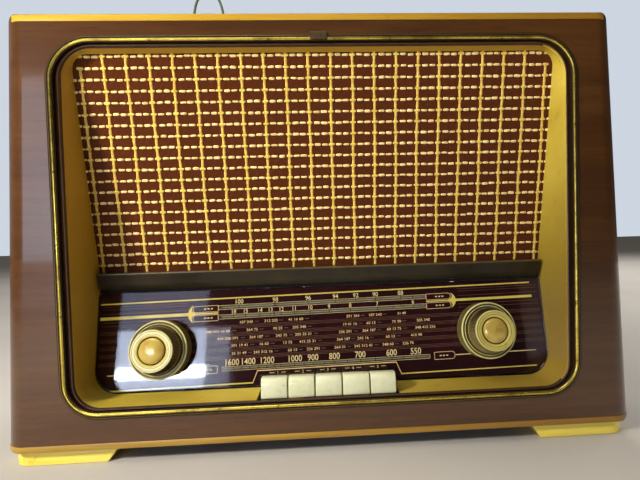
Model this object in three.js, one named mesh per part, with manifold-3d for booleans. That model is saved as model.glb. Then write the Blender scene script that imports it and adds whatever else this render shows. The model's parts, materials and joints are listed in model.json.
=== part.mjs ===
// Valve table radio: walnut case, forward-leaning cloth grille, back-leaning dial glass, two pairs
// of concentric knobs and five piano keys. Millimetres, +Z up, ground at Z = 0, front towards -Y,
// left at -X. Inside the group the case's front face is Y = 0; the group is then shifted in Y to
// centre its box on the origin.
import * as THREE from "three";
import { mergeVertices } from "three/addons/utils/BufferGeometryUtils.js";
import Module from "manifold-3d";

const wasm = await Module();
wasm.setup();

// ---------------------------------------------------------------- driving dimensions
const Y_SHIFT = -126.05;
const DATUM = 14.5; // height above ground that the layout heights are measured from
const GAP = 0.3; // between pieces that touch
const OVERCUT = 5; // how far a cutting shape runs past the face it cuts
const BEYOND = 300; // half width of cutters and bands that run past both sides of the case

const CASE_HALF = 541 / 2;
const CASE_BOTTOM = 13;
const CASE_TOP = 381;
const CASE_DEPTH = 240;
const CASE_WALL = 10;
const FRONT_PANEL = 14;
const CASE_CORNER_R = 12; // corners seen from the front
const CASE_FRONT_R = 18; // vertical front edges seen from above
const FLOOR = CASE_BOTTOM + CASE_WALL + GAP; // where pieces inside the case stand

const GRILLE_LEAN = 13; // degrees, top edge forward
const GRILLE_TOP_Y = 11.94;
const GRILLE_TOP_Z = 333.74; // layout height
const DIAL_LEAN = 10; // degrees, top edge backward
const DIAL_FOOT_Y = 39;
const DIAL_FOOT_Z = 38; // layout height

const KNOB_X = 152.2;
const knobY = (side) => 34.2 + 2.5 * side; // up the dial; the right-hand pair sits higher
const CHASSIS_TOP = 58;

// ---------------------------------------------------------------- finishes
const FINISH = {
  walnut: { color: 0x4a2a18, roughness: 0.25 },
  topStrip: { color: 0xd0a020, roughness: 0.35 },
  bottomStrip: { color: 0xb88a20, roughness: 0.4 },
  foot: { color: 0xc8a030, roughness: 0.5 },
  brass: { color: 0xc8b040, roughness: 0.3, metalness: 0.9 },
  dullBrass: { color: 0x5a5038, roughness: 0.5, metalness: 0.6 },
  frame: { color: 0xb09a48, roughness: 0.3 },
  shelf: { color: 0x2a2414, roughness: 0.35, metalness: 0.2 },
  cloth: { color: 0x6a3a20, roughness: 0.9 },
  baffle: { color: 0x8a6a40, roughness: 0.85 },
  basket: { color: 0x55585c, roughness: 0.5, metalness: 0.7 },
  cone: { color: 0x2c2622, roughness: 0.95 },
  dialGlass: { color: 0x5a1c28, roughness: 0.06, transparent: true, opacity: 0.5 },
  backplate: { color: 0x2a1014, roughness: 0.6 },
  lamp: { color: 0xe8dca0, roughness: 0.3 },
  pulley: { color: 0xc8b060, roughness: 0.4, metalness: 0.6 },
  rail: { color: 0xa8a8a8, roughness: 0.3, metalness: 0.9 },
  pointer: { color: 0xe8e4d0, roughness: 0.5 },
  ring: { color: 0x8a8050, roughness: 0.4, metalness: 0.3 },
  knob: { color: 0xd0c888, roughness: 0.35 },
  dome: { color: 0xd8b040, roughness: 0.25, metalness: 0.8 },
  steel: { color: 0xb0b0b0, roughness: 0.3, metalness: 0.95 },
  pot: { color: 0x9a9a90, roughness: 0.4, metalness: 0.8 },
  drum: { color: 0xb8b0a0, roughness: 0.5, metalness: 0.4 },
  gang: { color: 0xa8a8a0, roughness: 0.4, metalness: 0.8 },
  rotor: { color: 0xc0c0b8, roughness: 0.35, metalness: 0.9 },
  cord: { color: 0xc8c0a0, roughness: 0.9 },
  keyCap: { color: 0xe0e0c0, roughness: 0.35 },
  lever: { color: 0xa0a0a0, roughness: 0.4, metalness: 0.9 },
  switchBank: { color: 0xb89a60, roughness: 0.6 },
  chassis: { color: 0x9a9c98, roughness: 0.45, metalness: 0.8 },
  mainsCore: { color: 0x3c3a38, roughness: 0.5, metalness: 0.5 },
  outputCore: { color: 0x6a5030, roughness: 0.6, metalness: 0.3 },
  valve: { color: 0xb8c0c0, roughness: 0.08, transparent: true, opacity: 0.6 },
  can: { color: 0xc8c8c8, roughness: 0.3, metalness: 0.95 },
  backCover: { color: 0x7a5a38, roughness: 0.9 },
  flex: { color: 0x5a3a22, roughness: 0.7 },
  aerial: { color: 0x56604c, roughness: 0.8 },
};

// ---------------------------------------------------------------- outlines, as lists of pairs
const { degToRad } = THREE.MathUtils;
const lift = (height) => height + DATUM; // layout height to height above ground
const lifted = (outline) => outline.map(([across, height]) => [across, lift(height)]);
const vectors = (points) => points.map((point) => new THREE.Vector2(...point));

// A polygon with its corners rounded; radii is one number, or one per corner.
function rounded(corners, radii, steps = 5) {
  const outline = [];
  corners.forEach((corner, i) => {
    const radius = Array.isArray(radii) ? radii[i] : radii;
    if (!radius) {
      outline.push(corner);
      return;
    }
    const [point, before, after] = vectors([
      corner,
      corners.at(i - 1),
      corners[(i + 1) % corners.length],
    ]);
    before.sub(point).normalize();
    after.sub(point).normalize();
    const halfAngle = Math.acos(before.dot(after)) / 2;
    const toCentre = before.clone().add(after).normalize();
    const centre = toCentre.multiplyScalar(radius / Math.sin(halfAngle)).add(point);
    const tangent = radius / Math.tan(halfAngle);
    const start = before.multiplyScalar(tangent).add(point).sub(centre);
    const end = after.multiplyScalar(tangent).add(point).sub(centre);
    const startAngle = Math.atan2(start.y, start.x);
    let sweep = Math.atan2(end.y, end.x) - startAngle;
    if (sweep > Math.PI) sweep -= 2 * Math.PI;
    if (sweep < -Math.PI) sweep += 2 * Math.PI;
    for (let k = 0; k <= steps; k++) {
      const angle = startAngle + (sweep * k) / steps;
      outline.push([centre.x + radius * Math.cos(angle), centre.y + radius * Math.sin(angle)]);
    }
  });
  return outline;
}

// A rectangle centred across; corner radii run low left, low right, high right, high left.
function panel(half, low, high, radii, steps) {
  return rounded([[-half, low], [half, low], [half, high], [-half, high]], radii, steps);
}

// The opening's outline, widening upwards by spread on each side per mm of height.
// half is the half width at layout height 180; bottom and top are layout heights.
function opening({ half, spread = 0.038, bottom, top, bottomR, topR }) {
  const low = half + spread * (bottom - 180);
  const high = half + spread * (top - 180);
  const corners = [[-low, bottom], [low, bottom], [high, top], [-high, top]];
  return rounded(lifted(corners), [bottomR, bottomR, topR, topR]);
}

// ---------------------------------------------------------------- solids
function solid(geometry) {
  geometry.deleteAttribute("normal");
  geometry.deleteAttribute("uv");
  const merged = mergeVertices(geometry, 1e-4);
  const vertProperties = new Float32Array(merged.attributes.position.array);
  const triVerts = new Uint32Array(merged.index.array);
  const build = () =>
    new wasm.Manifold(new wasm.Mesh({ numProp: 3, vertProperties, triVerts }));
  const shape = build();
  if (shape.volume() >= 0) return shape;
  // inside out: turn every triangle round
  for (let i = 0; i < triVerts.length; i += 3) {
    [triVerts[i + 1], triVerts[i + 2]] = [triVerts[i + 2], triVerts[i + 1]];
  }
  return build();
}

const union = (shapes) => shapes.reduce((whole, part) => whole.add(part));
const bothSides = (build) => union([-1, 1].map(build)); // side is -1 left, 1 right

function box(x0, x1, y0, y1, z0, z1) {
  const geometry = new THREE.BoxGeometry(x1 - x0, y1 - y0, z1 - z0);
  return solid(geometry.translate((x0 + x1) / 2, (y0 + y1) / 2, (z0 + z1) / 2));
}

// A box given by its distances out from the middle, on one side.
function sideBox(side, inner, outer, ...spans) {
  const [x0, x1] = side < 0 ? [-outer, -inner] : [inner, outer];
  return box(x0, x1, ...spans);
}

function extrude(outline, depth) {
  const options = { depth, bevelEnabled: false, curveSegments: 1, steps: 1 };
  return new THREE.ExtrudeGeometry(new THREE.Shape(vectors(outline)), options);
}

// An outline in the named plane, pushed along the third axis.
const prismXY = (outline, z0, z1) => solid(extrude(outline, z1 - z0).translate(0, 0, z0));
const prismXZ = (outline, y0, y1) =>
  solid(extrude(outline, y1 - y0).rotateX(Math.PI / 2).translate(0, y1, 0));
const YZ_PLANE = new THREE.Matrix4().makeBasis(
  new THREE.Vector3(0, 1, 0),
  new THREE.Vector3(0, 0, 1),
  new THREE.Vector3(1, 0, 0),
);
const prismYZ = (outline, x0, x1) =>
  solid(extrude(outline, x1 - x0).applyMatrix4(YZ_PLANE).translate(x0, 0, 0));

// A cylinder along the named axis, placed by its two other coordinates.
const cylinder = (radius, from, to, sides) =>
  new THREE.CylinderGeometry(radius, radius, to - from, sides);
const rodX = (radius, x0, x1, y, z, sides) =>
  solid(cylinder(radius, x0, x1, sides).rotateZ(Math.PI / 2).translate((x0 + x1) / 2, y, z));
const rodY = (radius, y0, y1, x, z, sides) =>
  solid(cylinder(radius, y0, y1, sides).translate(x, (y0 + y1) / 2, z));
const rodZ = (radius, z0, z1, x, y, sides) =>
  solid(cylinder(radius, z0, z1, sides).rotateX(Math.PI / 2).translate(x, y, (z0 + z1) / 2));

// Turned profiles are [radius, distance along the axis].
const turned = (profile, sides) => new THREE.LatheGeometry(vectors(profile), sides);
const latheZ = (profile, x, y, sides) =>
  solid(turned(profile, sides).rotateX(Math.PI / 2).translate(x, y, 0));

// A round cable along a smooth path.
function cable(path, radius, steps, sides) {
  const points = path.map((point) => new THREE.Vector3(...point));
  const extrudePath = new THREE.CatmullRomCurve3(points, false, "centripetal");
  const circle = Array.from({ length: sides }, (_, i) => {
    const angle = (2 * Math.PI * i) / sides;
    return [radius * Math.cos(angle), radius * Math.sin(angle)];
  });
  const options = { steps, bevelEnabled: false, extrudePath, curveSegments: 1 };
  return solid(new THREE.ExtrudeGeometry(new THREE.Shape(vectors(circle)), options));
}

// ---------------------------------------------------------------- group and its two frames
const radio = new THREE.Group();
radio.position.y = Y_SHIFT;

// A leaning frame: x across, y up the leaning plane, z out of it towards the listener.
function leaningFrame(y, height, forwardLean) {
  const frame = new THREE.Group();
  frame.position.set(0, y, lift(height));
  frame.rotation.x = degToRad(90 + forwardLean);
  frame.updateMatrix();
  radio.add(frame);
  return frame;
}
const dial = leaningFrame(DIAL_FOOT_Y, DIAL_FOOT_Z, -DIAL_LEAN); // z = 0 is the glass front
const grille = leaningFrame(GRILLE_TOP_Y, GRILLE_TOP_Z, GRILLE_LEAN); // z = 0 is the cloth front
const fromFrame = (frame, shape) => shape.transform(frame.matrix.elements);

function add(parent, name, shape, finish) {
  const { vertProperties, triVerts } = shape.getMesh();
  const indexed = new THREE.BufferGeometry();
  indexed.setAttribute("position", new THREE.BufferAttribute(vertProperties, 3));
  indexed.setIndex(new THREE.BufferAttribute(triVerts, 1));
  const geometry = indexed.toNonIndexed();
  geometry.computeVertexNormals();
  const mesh = new THREE.Mesh(geometry, new THREE.MeshStandardMaterial(finish));
  mesh.name = name;
  parent.add(mesh);
}

// ---------------------------------------------------------------- case
const GROOVE_DEPTH = 2.5;
const TOP_STRIP = { half: 260, back: 50, bottom: lift(360), top: lift(365.8), inset: 0.7 };
const BOTTOM_STRIP = {
  half: BEYOND,
  back: CASE_FRONT_R,
  bottom: CASE_BOTTOM,
  top: lift(3.5),
  inset: 0,
};

// A band that follows the rounded front, from proud of the face to sunk behind it.
function edgeBand({ proud, sunk, half, back, bottom, top, inset }) {
  const plan = (offset, planBack) => {
    const radius = CASE_FRONT_R + offset;
    const outline = panel(CASE_HALF + offset, -offset, planBack, [radius, radius, 0, 0]);
    return prismXY(outline, bottom, top);
  };
  const low = CASE_BOTTOM + inset;
  const high = CASE_TOP - inset;
  const face = panel(CASE_HALF - inset, low, high, CASE_CORNER_R - inset, 4);
  return plan(proud, 60)
    .subtract(plan(-sunk, 80))
    .intersect(box(-half, half, -10, back, bottom, top))
    .intersect(prismXZ(face, -10, 80));
}
const strip = (band) => edgeBand({ ...band, proud: 0.5, sunk: GROOVE_DEPTH - GAP });
const groove = (band, clearance) =>
  edgeBand({ ...band, proud: 5, sunk: GROOVE_DEPTH, top: band.top + GAP, ...clearance });

function cabinetShell() {
  const face = panel(CASE_HALF, CASE_BOTTOM, CASE_TOP, CASE_CORNER_R, 4);
  const plan = panel(CASE_HALF, 0, CASE_DEPTH + OVERCUT, [CASE_FRONT_R, CASE_FRONT_R, 0, 0]);
  const inside = CASE_HALF - CASE_WALL;
  const low = CASE_BOTTOM + CASE_WALL;
  const high = CASE_TOP - CASE_WALL;
  const back = CASE_DEPTH + OVERCUT;
  const hole = opening({ half: 223.9, bottom: 26.3, top: 344.4, bottomR: 28, topR: 33 });
  const topGroove = groove(TOP_STRIP, {
    half: TOP_STRIP.half + GAP,
    bottom: TOP_STRIP.bottom - GAP,
    inset: TOP_STRIP.inset - GAP,
  });
  const bottomGroove = groove(BOTTOM_STRIP, {
    back: BOTTOM_STRIP.back + GAP,
    bottom: CASE_BOTTOM - 3,
    inset: -3,
  });
  let shell = prismXZ(face, 0, CASE_DEPTH)
    .intersect(prismXY(plan, 0, 400))
    .subtract(box(-inside, inside, FRONT_PANEL, back, low, high))
    .subtract(prismXZ(hole, -OVERCUT, FRONT_PANEL + OVERCUT))
    .subtract(topGroove)
    .subtract(bottomGroove)
    .subtract(box(-63, 63, 3, FRONT_PANEL + OVERCUT, lift(17.5), lift(28))); // below the keys
  // corner blocks that take the back cover
  for (const [z0, z1] of [[22, 44], [350, 372]]) {
    shell = shell.add(
      bothSides((side) => sideBox(side, inside - 22, inside + 1, 202, 225.7, z0, z1)),
    );
  }
  return shell;
}
add(radio, "cabinet_shell", cabinetShell(), FINISH.walnut);
add(radio, "top_edge_strip", strip(TOP_STRIP), FINISH.topStrip);
add(radio, "bottom_edge_strip", strip(BOTTOM_STRIP), FINISH.bottomStrip);

const FOOT_TOP = CASE_BOTTOM - GAP;
const FOOT_OUTER = 267;
const FOOT_LENGTH = 40; // front to back

// The inner end slopes; cornerR rounds the outer front corner.
function foot(side, front, cornerR) {
  const mirrored = (outline) => outline.map(([x, along]) => [side * x, along]);
  const back = front + FOOT_LENGTH;
  const face = mirrored([[178, FOOT_TOP], [187, 0], [FOOT_OUTER, 0], [FOOT_OUTER, FOOT_TOP]]);
  const plan = mirrored([[150, front], [FOOT_OUTER, front], [FOOT_OUTER, back], [150, back]]);
  return prismXZ(face, front, back).intersect(prismXY(rounded(plan, [0, cornerR, 0, 0]), -1, 20));
}
for (const [sideName, side] of [["left", -1], ["right", 1]]) {
  add(radio, `foot_front_${sideName}`, foot(side, 6, 16), FINISH.foot);
  add(radio, `foot_rear_${sideName}`, foot(side, 190, 0), FINISH.foot);
}

// brass moulding laid on the face around the opening, with a clip over its joint
const BEZEL_HALF = 228.2;
const BEZEL_WIDTH = 6.5;
const BEZEL_PROUD = 3.2;
// y, layout height
const CLIP_PROFILE = [
  [-4.9, 341], [-4.9, 348.6], [-GAP, 348.6], [-GAP, 347.8],
  [-3.6, 347.8], [-3.6, 341.8], [-0.9, 341.8], [-0.9, 341],
];

function bezel() {
  const outer = opening({ half: BEZEL_HALF, bottom: 23, top: 347.5, bottomR: 32, topR: 37 });
  const inner = opening({
    half: BEZEL_HALF - BEZEL_WIDTH,
    bottom: 28.5,
    top: 342.2,
    bottomR: 26,
    topR: 31,
  });
  const cut = prismXZ(inner, -BEZEL_PROUD - OVERCUT, OVERCUT);
  return prismXZ(outer, -BEZEL_PROUD, -GAP).subtract(cut);
}
add(radio, "bezel_moulding", bezel(), FINISH.brass);
add(radio, "bezel_joint_cover", prismYZ(lifted(CLIP_PROFILE), -7.5, 7.5), FINISH.dullBrass);

// deep moulded frame inside the opening
function innerFrame() {
  const outer = opening({ half: 221, bottom: 29, top: 341, bottomR: 25.5, topR: 30.5 });
  const inner = opening({
    half: 215.03,
    spread: 0.0155,
    bottom: 31.7,
    top: 336,
    bottomR: 22,
    topR: 14,
  });
  const behindCloth = box(-BEYOND, BEYOND, -218, 80, -250, GAP);
  const behindGlass = box(-BEYOND, BEYOND, -60, 85.5, -250, GAP);
  return prismXZ(outer, 0.8, 60)
    .subtract(prismXZ(inner, -5, 70))
    .subtract(fromFrame(grille, behindCloth))
    .subtract(fromFrame(dial, behindGlass))
    .subtract(box(-62, 62, 3.4, 62, lift(20), lift(40))); // key slot behind the front rim
}
add(radio, "inner_frame", innerFrame(), FINISH.frame);

// shelf between grille and dial: y, layout height
const SHELF_PROFILE = [[51, 124.5], [44, 141], [55.8, 141], [55.8, 124.5]];
add(radio, "shelf_bar", prismYZ(lifted(SHELF_PROFILE), -213, 213), FINISH.shelf);

// ---------------------------------------------------------------- grille side
const CLOTH_FOOT_Z = 134; // layout height
const CLOTH_THICKNESS = 1.3;
const BAFFLE_FRONT = -CLOTH_THICKNESS - GAP;
const BAFFLE_BACK = BAFFLE_FRONT - 8;
const SPEAKER_Y = -91; // speaker axis, from the frame's top reference line
const clothFoot = -(GRILLE_TOP_Z - CLOTH_FOOT_Z) / Math.cos(degToRad(GRILLE_LEAN));
const boardOutline = panel(220, clothFoot, 3.6, [3, 3, 16, 16], 4);

// An oval frustum on the speaker axis; back and front are [half width, half height].
function ovalFrustum(back, front, z0, z1, sides = 24) {
  const geometry = cylinder(1, z0, z1, sides).rotateX(Math.PI / 2);
  const { position } = geometry.attributes;
  for (let i = 0; i < position.count; i++) {
    const [halfWidth, halfHeight] = position.getZ(i) > 0 ? front : back;
    position.setXY(i, position.getX(i) * halfWidth, position.getY(i) * halfHeight);
  }
  return solid(geometry.translate(0, SPEAKER_Y, (z0 + z1) / 2));
}
const oval = (size, z0, z1) => ovalFrustum(size, size, z0, z1);

function speakerFrame() {
  const flangeFront = BAFFLE_BACK - GAP;
  const window = (halfX, halfY) =>
    box(-halfX, halfX, SPEAKER_Y - halfY, SPEAKER_Y + halfY, -58, -28);
  return oval([128, 88], flangeFront - 3, flangeFront)
    .add(ovalFrustum([46, 44], [119, 81], -70, -12))
    .subtract(ovalFrustum([42, 40], [117, 79], -68, -9)) // hollow, open to the front
    .add(rodZ(42, -104, -68, 0, SPEAKER_Y, 20)) // round rear body
    .subtract(window(44, 100))
    .subtract(window(140, 20));
}

function speakerCone() {
  return ovalFrustum([15, 15], [110, 72], -48, -13, 20)
    .subtract(ovalFrustum([13, 13], [108.5, 70.5], -46.8, -11, 20))
    .add(rodZ(18, -47.5, -42.5, 0, SPEAKER_Y, 12))
    .add(rodZ(12, -61, -47, 0, SPEAKER_Y, 12));
}
const baffle = prismXY(boardOutline, BAFFLE_BACK, BAFFLE_FRONT).subtract(oval([114, 76], -20, 5));
add(grille, "grille_cloth", prismXY(boardOutline, -CLOTH_THICKNESS, 0), FINISH.cloth);
add(grille, "baffle_board", baffle, FINISH.baffle);
add(grille, "speaker_frame", speakerFrame(), FINISH.basket);
add(grille, "speaker_cone", speakerCone(), FINISH.cone);

// ---------------------------------------------------------------- dial side
const PLATE_BACK = -10.2;
const PLATE_FRONT = -9;
const EAR_OUTER = 206; // ears at the backplate's top corners
const EAR_CHEEK = 203; // inner face of the cheeks that hold the rail
const EAR_TOP = 95;
const PULLEY_X = 192;
const PULLEY_Y = 86;
const PULLEY_Z = -12.7; // middle of the groove
const PULLEY_GROOVE_R = 5.5;
const RAIL_Y = 90;
const RAIL_Z = -7;
const POINTER_REST_X = -50;
const LAMP_PROFILE = [
  [0, -34], [7, -34], [7, -22], [4.5, -21], [4.5, -17], [3.4, -12.6], [0, -10.8],
];
const PULLEY_PROFILE = [
  [1.7, -11], [7, -11], [7, -11.3], [PULLEY_GROOVE_R - 0.2, -12],
  [PULLEY_GROOVE_R - 0.2, -13.4], [7, -14.1], [7, -14.4], [1.7, -14.4], [1.7, -11],
];

const knobHoles = (radius, z0, z1) =>
  bothSides((side) => rodZ(radius, z0, z1, side * KNOB_X, knobY(side), 20));

function dialGlass() {
  return prismXY(panel(215, -5.2, 85, [22, 22, 2, 2]), -3, 0)
    .subtract(box(-64, 64, -20, 4, -10, 10)) // notch for the keys
    .subtract(knobHoles(8, -10, 10));
}

function dialBackplate() {
  const ear = (side) =>
    union([
      sideBox(side, 180, EAR_OUTER, 83, EAR_TOP, PLATE_BACK, PLATE_FRONT),
      sideBox(side, EAR_CHEEK, EAR_OUTER, 80, EAR_TOP, PLATE_BACK, -3.6),
      rodZ(1.4, PULLEY_Z - 2.7, PULLEY_Z + 2.7, side * PULLEY_X, PULLEY_Y, 12), // pulley pin
    ]);
  return prismXY(panel(205, -4, 84, [20, 20, 0, 0]), PLATE_BACK, PLATE_FRONT)
    .subtract(box(-66, 66, -20, 6, -20, 0)) // notch for the keys
    .subtract(knobHoles(8.5, -20, 0))
    .add(bothSides(ear));
}

function pointer() {
  const across = (half, ...spans) => box(POINTER_REST_X - half, POINTER_REST_X + half, ...spans);
  return across(0.8, 8, 88, -6.2, -5)
    .add(across(9, RAIL_Y - 4, RAIL_Y + 4, -10.4, -3.8)) // slider on the rail
    .subtract(rodX(2.4, POINTER_REST_X - 20, POINTER_REST_X + 20, RAIL_Y, RAIL_Z, 12));
}

add(dial, "dial_glass", dialGlass(), FINISH.dialGlass);
add(dial, "dial_backplate", dialBackplate(), FINISH.backplate);
for (const [sideName, side] of [["left", -1], ["right", 1]]) {
  const pulley = latheZ(PULLEY_PROFILE, side * PULLEY_X, PULLEY_Y, 12);
  add(dial, `dial_lamp_${sideName}`, latheZ(LAMP_PROFILE, side * 110, 62, 12), FINISH.lamp);
  add(dial, `cord_pulley_${sideName}`, pulley, FINISH.pulley);
}
const railEnd = EAR_CHEEK - GAP;
add(dial, "pointer_rail", rodX(2, -railEnd, railEnd, RAIL_Y, RAIL_Z, 10), FINISH.rail);
add(dial, "pointer", pointer(), FINISH.pointer);

// ---------------------------------------------------------------- two pairs of concentric knobs
const RING_R = 26.25;
const RING_FRONT = 18.5;
const CAP_R = 19.6;
const CAP_BACK = 19.2;
const CAP_FRONT = 34;
const BORE_END = 30; // blind end of the shaft hole in a cap
const DOME_R = 11.25;
const SPINDLE_R = 4; // the drive cord winds here
const SPINDLE_FLANGE_R = SPINDLE_R + 1.4;
const SPINDLE_Z = -30;
const SHAFT_R = 3.2;
const SHAFT_END = BORE_END - GAP;

const RING_PROFILE = [
  [3.6, -22], [6, -22], [6, 1], [RING_R, 1], [RING_R, RING_FRONT - 0.6],
  [RING_R - 0.6, RING_FRONT], [3.6, RING_FRONT], [3.6, -22],
];
const DOME_PROFILE = [
  [0, CAP_FRONT - 1.7], [DOME_R, CAP_FRONT - 1.7], [DOME_R, CAP_FRONT - 0.6],
  [DOME_R * 0.86, CAP_FRONT + 0.9], [DOME_R * 0.5, CAP_FRONT + 2], [0, CAP_FRONT + 2.4],
];
const DOME_RECESS = [
  [0, CAP_FRONT - 2], [DOME_R + GAP, CAP_FRONT - 2],
  [DOME_R + GAP, CAP_FRONT + OVERCUT], [0, CAP_FRONT + OVERCUT],
];
const CAP_BORE = [[0, 10], [3.5, 10], [3.5, BORE_END], [0, BORE_END]];
const VOLUME_SHAFT = [[0, -32], [SHAFT_R, -32], [SHAFT_R, SHAFT_END], [0, SHAFT_END]];
const TUNING_SHAFT = [
  [0, -36], [SHAFT_R, -36], [SHAFT_R, -33], [SPINDLE_FLANGE_R, -32.6],
  [SPINDLE_FLANGE_R, -32], [SPINDLE_R, -31.6], [SPINDLE_R, -28.4], [SPINDLE_FLANGE_R, -28],
  [SPINDLE_FLANGE_R, -27.4], [SHAFT_R, -27], [SHAFT_R, SHAFT_END], [0, SHAFT_END],
];
const VOLUME_POT = [
  [6.5, -14], [15, -14], [15, -40], [0, -40], [0, -33],
  [3.6, -33], [3.6, -23], [6.5, -23], [6.5, -14],
];
const TREBLE_POT = [[6.5, -14], [15, -14], [15, -24], [6.5, -24], [6.5, -14]];

// A serrated circle with this many teeth.
function serrated(radius, depth, teeth) {
  return Array.from({ length: 2 * teeth }, (_, i) => {
    const angle = (Math.PI * i) / teeth;
    const reach = i % 2 ? radius - depth : radius;
    return [reach * Math.cos(angle), reach * Math.sin(angle)];
  });
}

function knobCap(x, y) {
  return prismXY(serrated(CAP_R, 0.8, 24), CAP_BACK, CAP_FRONT)
    .translate([x, y, 0])
    .subtract(latheZ(DOME_RECESS, x, y, 24))
    .subtract(latheZ(CAP_BORE, x, y, 16));
}

for (const [side, ringName, shaftFor, shaftProfile] of [
  [-1, "bass_ring", "volume", VOLUME_SHAFT],
  [1, "treble_ring", "tuning", TUNING_SHAFT],
]) {
  const x = side * KNOB_X;
  const y = knobY(side);
  add(dial, ringName, latheZ(RING_PROFILE, x, y, 28), FINISH.ring);
  add(dial, `${shaftFor}_knob`, knobCap(x, y), FINISH.knob);
  add(dial, `${shaftFor}_knob_dome`, latheZ(DOME_PROFILE, x, y, 24), FINISH.dome);
  add(dial, `${shaftFor}_shaft`, latheZ(shaftProfile, x, y, 16), FINISH.steel);
}
add(dial, "volume_pot", latheZ(VOLUME_POT, -KNOB_X, knobY(-1), 22), FINISH.pot);
add(dial, "treble_pot", latheZ(TREBLE_POT, KNOB_X, knobY(1), 22), FINISH.pot);

// ---------------------------------------------------------------- tuning drive and gang
const DRUM_R = 60.5;
const DRUM_X = 40;
const DRUM_Z = 127;
const DRUM_FRONT = 84;
const DRUM_WIDTH = 8;
const POINTER_OPEN_X = -95; // pointer place with the moving vanes fully out
const VANE_BANKS_Y = [110, 145];
const VANE_PITCH = 7;
const VANE_THICKNESS = 1.4;

const DRUM_PROFILE = [
  [3.3, 0], [9, 0], [9, 3], [56, 3], [56, 0.5], [DRUM_R + 1, 0.5], [DRUM_R - 0.6, 2.4],
  [DRUM_R - 0.6, 5.6], [DRUM_R + 1, 7.5], [56, 7.5], [56, 5], [9, 5],
  [9, DRUM_WIDTH], [3.3, DRUM_WIDTH], [3.3, 0],
];
const drum = solid(turned(DRUM_PROFILE, 28).translate(DRUM_X, DRUM_FRONT, DRUM_Z));
add(radio, "tuning_drum", drum, FINISH.drum);

// Half a disc about the origin, bulging to one side; inner = 0 leaves no hole.
function halfDisc(outer, inner, side) {
  const onArc = (radius, i) => {
    const angle = -Math.PI / 2 + (Math.PI * i) / 8;
    return [side * radius * Math.cos(angle), radius * Math.sin(angle)];
  };
  const outline = Array.from({ length: 9 }, (_, i) => onArc(outer, i));
  for (let i = 8; inner && i >= 0; i -= 2) outline.push(onArc(inner, i));
  return outline;
}

function vanes(outline, count, offset) {
  const starts = VANE_BANKS_Y.flatMap((bankY) =>
    Array.from({ length: count }, (_, i) => bankY + offset + VANE_PITCH * i),
  );
  return union(starts.map((y) => prismXZ(outline, y, y + VANE_THICKNESS)));
}

function gangFrame() {
  const plate = (...spans) => box(DRUM_X - 32, DRUM_X + 32, ...spans);
  const walls = [104, 139, 174].map((y) => plate(y, y + 2, CHASSIS_TOP + GAP, 156));
  return union([plate(104, 176, 87, 89.5), ...walls])
    .subtract(rodY(3.5, 90, 190, DRUM_X, DRUM_Z, 16))
    .add(box(DRUM_X - 31, DRUM_X - 26.5, 105, 175, 120, 134)) // bar joining the fixed vanes
    .add(vanes(halfDisc(28, 9, -1), 4, 0).translate([DRUM_X, 0, DRUM_Z]));
}

// The moving vanes stand a little way into the fixed ones at the pointer's rest.
function gangRotor() {
  const turn = new THREE.Matrix4().makeRotationY((POINTER_REST_X - POINTER_OPEN_X) / DRUM_R);
  const moving = vanes(halfDisc(25, 0, 1), 3, VANE_PITCH / 2).transform(turn.elements);
  return rodY(3, 80, 178, DRUM_X, DRUM_Z, 14).add(moving.translate([DRUM_X, 0, DRUM_Z]));
}
add(radio, "gang_frame", gangFrame(), FINISH.gang);
add(radio, "gang_rotor", gangRotor(), FINISH.rotor);

// Drive cord: along the top between the pulleys, down each side, round the spindle and the drum.
function dialCord() {
  const degrees = (first, step, count) =>
    Array.from({ length: count }, (_, i) => first - step * i);
  const onCircle = (x, y, radius, angle) => [
    x + radius * Math.cos(degToRad(angle)),
    y + radius * Math.sin(degToRad(angle)),
  ];
  const onDrum = (angle) => {
    const [x, z] = onCircle(DRUM_X, DRUM_Z, DRUM_R + 2.6, angle);
    return new THREE.Vector3(x, DRUM_FRONT + DRUM_WIDTH / 2, z);
  };
  const onDial = (x, y, z, radius, angles) =>
    angles.map((angle) =>
      new THREE.Vector3(...onCircle(x, y, radius, angle), z).applyMatrix4(dial.matrix),
    );
  const onPulley = (side, angles) =>
    onDial(side * PULLEY_X, PULLEY_Y, PULLEY_Z, PULLEY_GROOVE_R + 0.7, angles);
  const path = [
    ...degrees(346, 26, 7).map(onDrum),
    ...onPulley(-1, degrees(262, 43, 5)),
    ...onPulley(1, degrees(90, 32, 5)),
    ...onDial(KNOB_X, knobY(1), SPINDLE_Z, SPINDLE_R + 0.95, [-38, -85, -130, -175]),
    onDrum(346),
  ];
  const alongY = new THREE.Vector3(0, 1, 0);
  const pieces = path.slice(1).map((end, i) => {
    const start = path[i];
    const run = end.clone().sub(start);
    const middle = start.clone().add(end).multiplyScalar(0.5);
    const geometry = cylinder(0.4, 0, run.length() + 0.3, 5); // overlaps its neighbours
    const turn = new THREE.Quaternion().setFromUnitVectors(alongY, run.normalize());
    return solid(geometry.applyQuaternion(turn).translate(...middle.toArray()));
  });
  return union(pieces);
}
add(radio, "dial_cord", dialCord(), FINISH.cord);

// ---------------------------------------------------------------- piano keys
const KEY_EDGES = [-58.7, -35.1, -11.6, 12.1, 36.3, 59.5]; // x of the joints between keys
const KEY_FRONT = 4;
const KEY_BACK = 36;
const PIVOT_Y = 88;
const PIVOT_Z = 50.5;
const PIVOT_HOLE_R = 2.3;
// y, layout height
const KEY_PROFILE = [
  [KEY_FRONT + 0.4, 32], [KEY_FRONT, 34], [KEY_FRONT, 42], [KEY_FRONT + 1, 45.5],
  [KEY_FRONT + 3.4, 48.2], [KEY_FRONT + 7, 49.2], [KEY_FRONT + 14, 47.6],
  [KEY_BACK, 42], [KEY_BACK, 32],
];
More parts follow.
